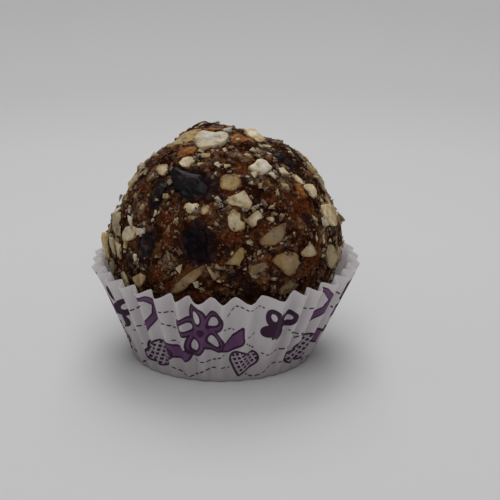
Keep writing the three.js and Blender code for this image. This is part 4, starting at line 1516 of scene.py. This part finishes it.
class Looks:
    """A procedural material and short calls that add nodes to it."""

    def __init__(self, name):
        self.material = bpy.data.materials.new(name)
        self.material.use_nodes = True
        self.tree = self.material.node_tree
        self.shader = self.tree.nodes["Principled BSDF"]
        self.place = self.tree.nodes.new("ShaderNodeTexCoord").outputs["Object"]

    def feed(self, socket, value):
        if isinstance(value, bpy.types.NodeSocket):
            self.tree.links.new(value, socket)
        elif socket.type == "RGBA":
            socket.default_value = (*value, 1)
        else:
            socket.default_value = value

    def add(self, kind, inputs, **settings):
        """A new node of some kind, set and then fed."""
        node = self.tree.nodes.new("ShaderNode" + kind)
        for name, value in settings.items():
            setattr(node, name, value)
        for name, value in inputs.items():
            self.feed(node.inputs[name], value)
        return node

    def calculated(self, operation, a, b):
        return self.add("Math", {0: a, 1: b}, operation=operation).outputs[0]

    def plus(self, a, b):
        return self.calculated("ADD", a, b)

    def times(self, a, b):
        return self.calculated("MULTIPLY", a, b)

    def mix(self, share, a, b, blend="MIX"):
        inputs = {"Factor": share, "A": a, "B": b}
        return self.add("Mix", inputs, data_type="RGBA", blend_type=blend).outputs["Result"]

    def tinted(self, colour, tint):
        return self.mix(1.0, colour, tint, "MULTIPLY")

    def mix_values(self, share, a, b):
        return self.add("Mix", {"Factor": share, "A": a, "B": b}).outputs["Result"]

    def step(self, value, low, high, kind="SMOOTHSTEP"):
        inputs = {"Value": value, "From Min": low, "From Max": high}
        return self.add("MapRange", inputs, interpolation_type=kind).outputs["Result"]

    def ramp(self, value, stops):
        node = self.add("ValToRGB", {"Fac": value})
        colours = node.color_ramp.elements
        for _ in range(len(stops) - 2):
            colours.new(0.5)
        for element, (place, colour) in zip(colours, stops):
            element.position = place
            element.color = (*colour, 1)
        return node.outputs["Color"]

    def cover(self, value, start, full, most):
        """Rises from 0 to the most cover as the value goes from start to full."""
        return self.times(self.step(value, start, full), most)

    def noise(self, use):
        size, detail, roughness = NOISES[use]
        inputs = {"Vector": self.place, "Scale": 1 / (size * MM), "Detail": detail, "Roughness": roughness}
        return self.add("TexNoise", inputs).outputs["Fac"]

    def ragged(self, value, uneven, lift):
        """The value, made uneven by noise so that its edges are ragged."""
        return self.plus(value, self.times(self.calculated("SUBTRACT", uneven, 0.5), lift))

    def cells(self, size, warp):
        """Cells of some size, made irregular by a warp: the size of its waves, and their lift."""
        wave, lift = warp
        bend = self.add("TexNoise", {"Vector": self.place, "Scale": 1 / (wave * MM)}).outputs["Color"]
        inputs = {0: bend, 1: (lift * MM, lift * MM, lift * MM), 2: self.place}
        place = self.add("VectorMath", inputs, operation="MULTIPLY_ADD").outputs["Vector"]
        return self.add("TexVoronoi", {"Vector": place, "Scale": 1 / (size * MM)})

    def own_value(self, cells):
        """A value of its own for each cell, from 0 to 1."""
        return self.add("SeparateColor", {"Color": cells.outputs["Color"]}).outputs["Red"]

    def height(self, low, high, kind="SMOOTHSTEP"):
        """Rises from 0 at one height above the floor to 1 at another, in mm."""
        node = self.add("SeparateXYZ", {"Vector": self.place})
        return self.step(node.outputs["Z"], low * MM, high * MM, kind)

    def shaded_in_cup(self, colour):
        """The food's colour with painted shade, darker low in the cup."""
        return self.mix(self.height(*SHADED_IN_CUP), self.tinted(colour, CUP_SHADE), colour)

    def attribute(self, name, output="Fac"):
        return self.add("Attribute", {}, attribute_name=name).outputs[output]

    def bump(self, height, depth, strength):
        node = self.add("Bump", {"Distance": depth * MM, "Strength": strength, "Height": height})
        self.feed(self.shader.inputs["Normal"], node.outputs["Normal"])

    def set(self, **sockets):
        for name, value in sockets.items():
            self.feed(self.shader.inputs[name.replace("_", " ")], value)
        return self.material


def paste_material():
    looks = Looks("date_paste")
    grain = looks.noise("paste grain")
    mixed = looks.times(looks.noise("paste cloud"), CLOUD_SHARE)
    mixed = looks.plus(mixed, looks.times(grain, GRAIN_SHARE))
    for name, share in PASTE_MIX.items():
        mixed = looks.plus(mixed, looks.times(looks.attribute(name), share))
    base = looks.ramp(looks.calculated("SUBTRACT", mixed, MIX_LEVEL), PASTE_COLOURS)

    def patched(base, kind):
        *cover, stops = PATCH_LOOKS[kind]
        inside = looks.ragged(looks.attribute(kind), looks.noise("patch edges"), PATCH_RAGGEDNESS)
        return looks.mix(looks.cover(inside, *cover), base, looks.ramp(grain, stops))

    for kind in ("red", "meal", "orange"):
        base = patched(base, kind)
    halo = looks.ragged(looks.attribute("halo"), looks.noise("halo edges"), HALO_RAGGEDNESS)
    base = looks.mix(looks.cover(halo, *HALO_COVER), base, HALO_TAN)

    specks = []
    for size, warp, chosen, edge, cover, colour in SPECKS:
        cells = looks.cells(size, warp)
        inside = looks.step(cells.outputs["Distance"], *edge)
        specks.append(looks.times(looks.step(looks.own_value(cells), *chosen), inside))
        base = looks.mix(looks.times(specks[-1], cover), base, colour)
    base = patched(base, "dark")
    juice = looks.plus(looks.attribute("juice"), looks.times(grain, JUICE_GRAIN))
    base = looks.mix(looks.cover(juice, *JUICE_COVER), base, JUICE_DARK)

    wet = looks.step(looks.noise("paste wetness"), *WET_PASTE)
    relief = looks.plus(looks.noise("paste relief"), looks.times(specks[0], SPECK_RELIEF))
    looks.bump(relief, *PASTE_RELIEF)
    return looks.set(
        Base_Color=looks.shaded_in_cup(base),
        Roughness=looks.mix_values(wet, 0.55, 0.35),
        Specular_IOR_Level=looks.mix_values(wet, 0.0, 0.2),
    )


def nut_material(name, stain):
    """Broken nut; paste covers more of it as stain grows, first at the rim."""
    looks = Looks(name)
    cloud = looks.ramp(looks.noise("nut cloud"), NUT_CLOUD)
    colour = looks.tinted(looks.attribute("tint", "Color"), cloud)
    bare = looks.ragged(looks.attribute("bare"), looks.noise("nut edges"), NUT_RAGGEDNESS * stain)

    def stained(start, full, most):
        return looks.cover(bare, start * stain, full * stain, most)

    colour = looks.mix(stained(*CREAM_COVER), colour, looks.tinted(colour, NUT_CREAM))
    colour = looks.mix(stained(*AMBER_COVER), colour, NUT_AMBER)
    colour = looks.mix(stained(*PASTE_COVER), colour, NUT_PASTE)
    relief = looks.plus(looks.noise("nut relief"), looks.times(looks.noise("nut waves"), NUT_WAVES))
    looks.bump(relief, *NUT_RELIEF)
    return looks.set(
        Base_Color=looks.shaded_in_cup(colour),
        Roughness=0.55,
        Specular_IOR_Level=0.2,
        Subsurface_Weight=0.5,
        Subsurface_Radius=(1.0, 0.62, 0.36),
        Subsurface_Scale=0.5 * MM,
    )


def raisin_material():
    looks = Looks("raisin")
    sheen = looks.attribute("sheen")
    # Partly bloom, partly painted sheen, scaled by each raisin's gloss
    bloom_and_sheen = looks.times(looks.cover(looks.noise("raisin bloom"), *BLOOM_AND_SHEEN_COVER), sheen)
    smears = looks.cover(looks.noise("raisin smears"), *SMEAR_COVER)
    smears = looks.times(smears, looks.attribute("smeared"))
    colour = looks.ramp(looks.noise("raisin cloud"), RAISIN_CLOUD)
    colour = looks.mix(bloom_and_sheen, colour, RAISIN_BLOOM_AND_SHEEN)
    colour = looks.mix(smears, colour, RAISIN_SMEAR)
    looks.bump(looks.noise("raisin relief"), *RAISIN_RELIEF)
    return looks.set(
        Base_Color=colour,
        Roughness=looks.mix_values(looks.noise("raisin wetness"), 0.28, 0.5),
        Specular_IOR_Level=looks.times(sheen, 0.26),
    )


def paper_material():
    looks = Looks("printed_paper")
    paper = looks.ramp(looks.noise("paper cloud"), PAPER_CLOUD)
    # Painted shade: the paper grows darker towards the base
    colour = looks.mix(looks.height(*FOOT_SHADE_HEIGHTS, "LINEAR"), looks.tinted(paper, PAPER_FOOT_SHADE), paper)
    fibres = looks.noise("paper fibres")
    for name, ink in {"mid_ink": MID_INK, "dark_ink": DARK_INK}.items():
        edge = looks.ragged(looks.attribute(name), fibres, INK_RAGGEDNESS)
        colour = looks.mix(looks.step(edge, *INK_EDGE), colour, ink)
    looks.bump(looks.plus(fibres, looks.noise("paper waves")), *PAPER_RELIEF)
    return looks.set(
        Base_Color=colour,
        Roughness=0.62,
        Specular_IOR_Level=0.2,
        Subsurface_Weight=0.5,
        Subsurface_Radius=(1.0, 1.0, 1.0),
        Subsurface_Scale=0.4 * MM,
    )


def floor_material():
    looks = Looks("floor")
    away = looks.add("VectorMath", {0: looks.place}, operation="LENGTH").outputs["Value"]
    nearest = FLOOR_PAINTED_LIGHT_AND_SHADE[0][0]
    farthest = FLOOR_PAINTED_LIGHT_AND_SHADE[-1][0]
    span = farthest - nearest
    # Painted shade and painted light on the floor, by distance from the object
    stops = [((reach - nearest) / span, (shade, shade, shade)) for reach, shade in FLOOR_PAINTED_LIGHT_AND_SHADE]
    colour = looks.ramp(looks.step(away, nearest * MM, farthest * MM, "LINEAR"), stops)
    return looks.set(Base_Color=colour, Roughness=0.85, Specular_IOR_Level=0.2)


def make_stage():
    half = FLOOR_HALF_WIDTH
    corners = [(-half, -half, 0), (half, -half, 0), (half, half, 0), (-half, half, 0)]
    floor = make_object("floor", corners, [(0, 1, 2, 3)], floor_material(), None, {})
    world = bpy.data.worlds.new("studio")
    world.use_nodes = True
    background = world.node_tree.nodes["Background"]
    background.inputs["Color"].default_value = (1, 1, 1, 1)
    background.inputs["Strength"].default_value = WORLD_STRENGTH
    bpy.context.scene.world = world


def make_lights():
    """Soft square panels that all face the middle of the object's base."""
    for name, (place, side, power) in PANELS.items():
        data = bpy.data.lights.new(name, "AREA")
        data.size = side * MM
        data.energy = power
        light = bpy.data.objects.new(name, data)
        light.location = Vector(place) * MM
        light.rotation_euler = (-Vector(place)).to_track_quat("-Z", "Y").to_euler()
        bpy.context.scene.collection.objects.link(light)


def make_camera():
    data = bpy.data.cameras.new("photo_camera")
    data.sensor_width = SENSOR_WIDTH
    data.lens = CAMERA_DISTANCE * SENSOR_WIDTH / FRAME_WIDTH
    aim = BALL_CENTRE + AIM_RIGHT * RIGHT + AIM_UP * UP
    camera = bpy.data.objects.new("photo_camera", data)
    axes = Matrix((RIGHT, UP, TOWARDS)).transposed().to_4x4()
    camera.matrix_world = Matrix.Translation(Vector(aim + CAMERA_DISTANCE * TOWARDS) * MM) @ axes
    bpy.context.scene.collection.objects.link(camera)
    bpy.context.scene.camera = camera


make_camera()
make_lights()
make_stage()
raisins = all_raisins()
nuts = all_nuts(raisins)
patches = all_patches()
make_paste(raisins, nuts, patches, paste_material())
make_nuts(nuts, nut_material("nut", 1.0))
make_crumbs(raisins, nuts, patches, nut_material("nut_meal", 0.3))
make_raisins(raisins, raisin_material())
make_cup(paper_material())
bpy.context.scene.view_settings.view_transform = "Standard"

bpy.context.view_layer.update()
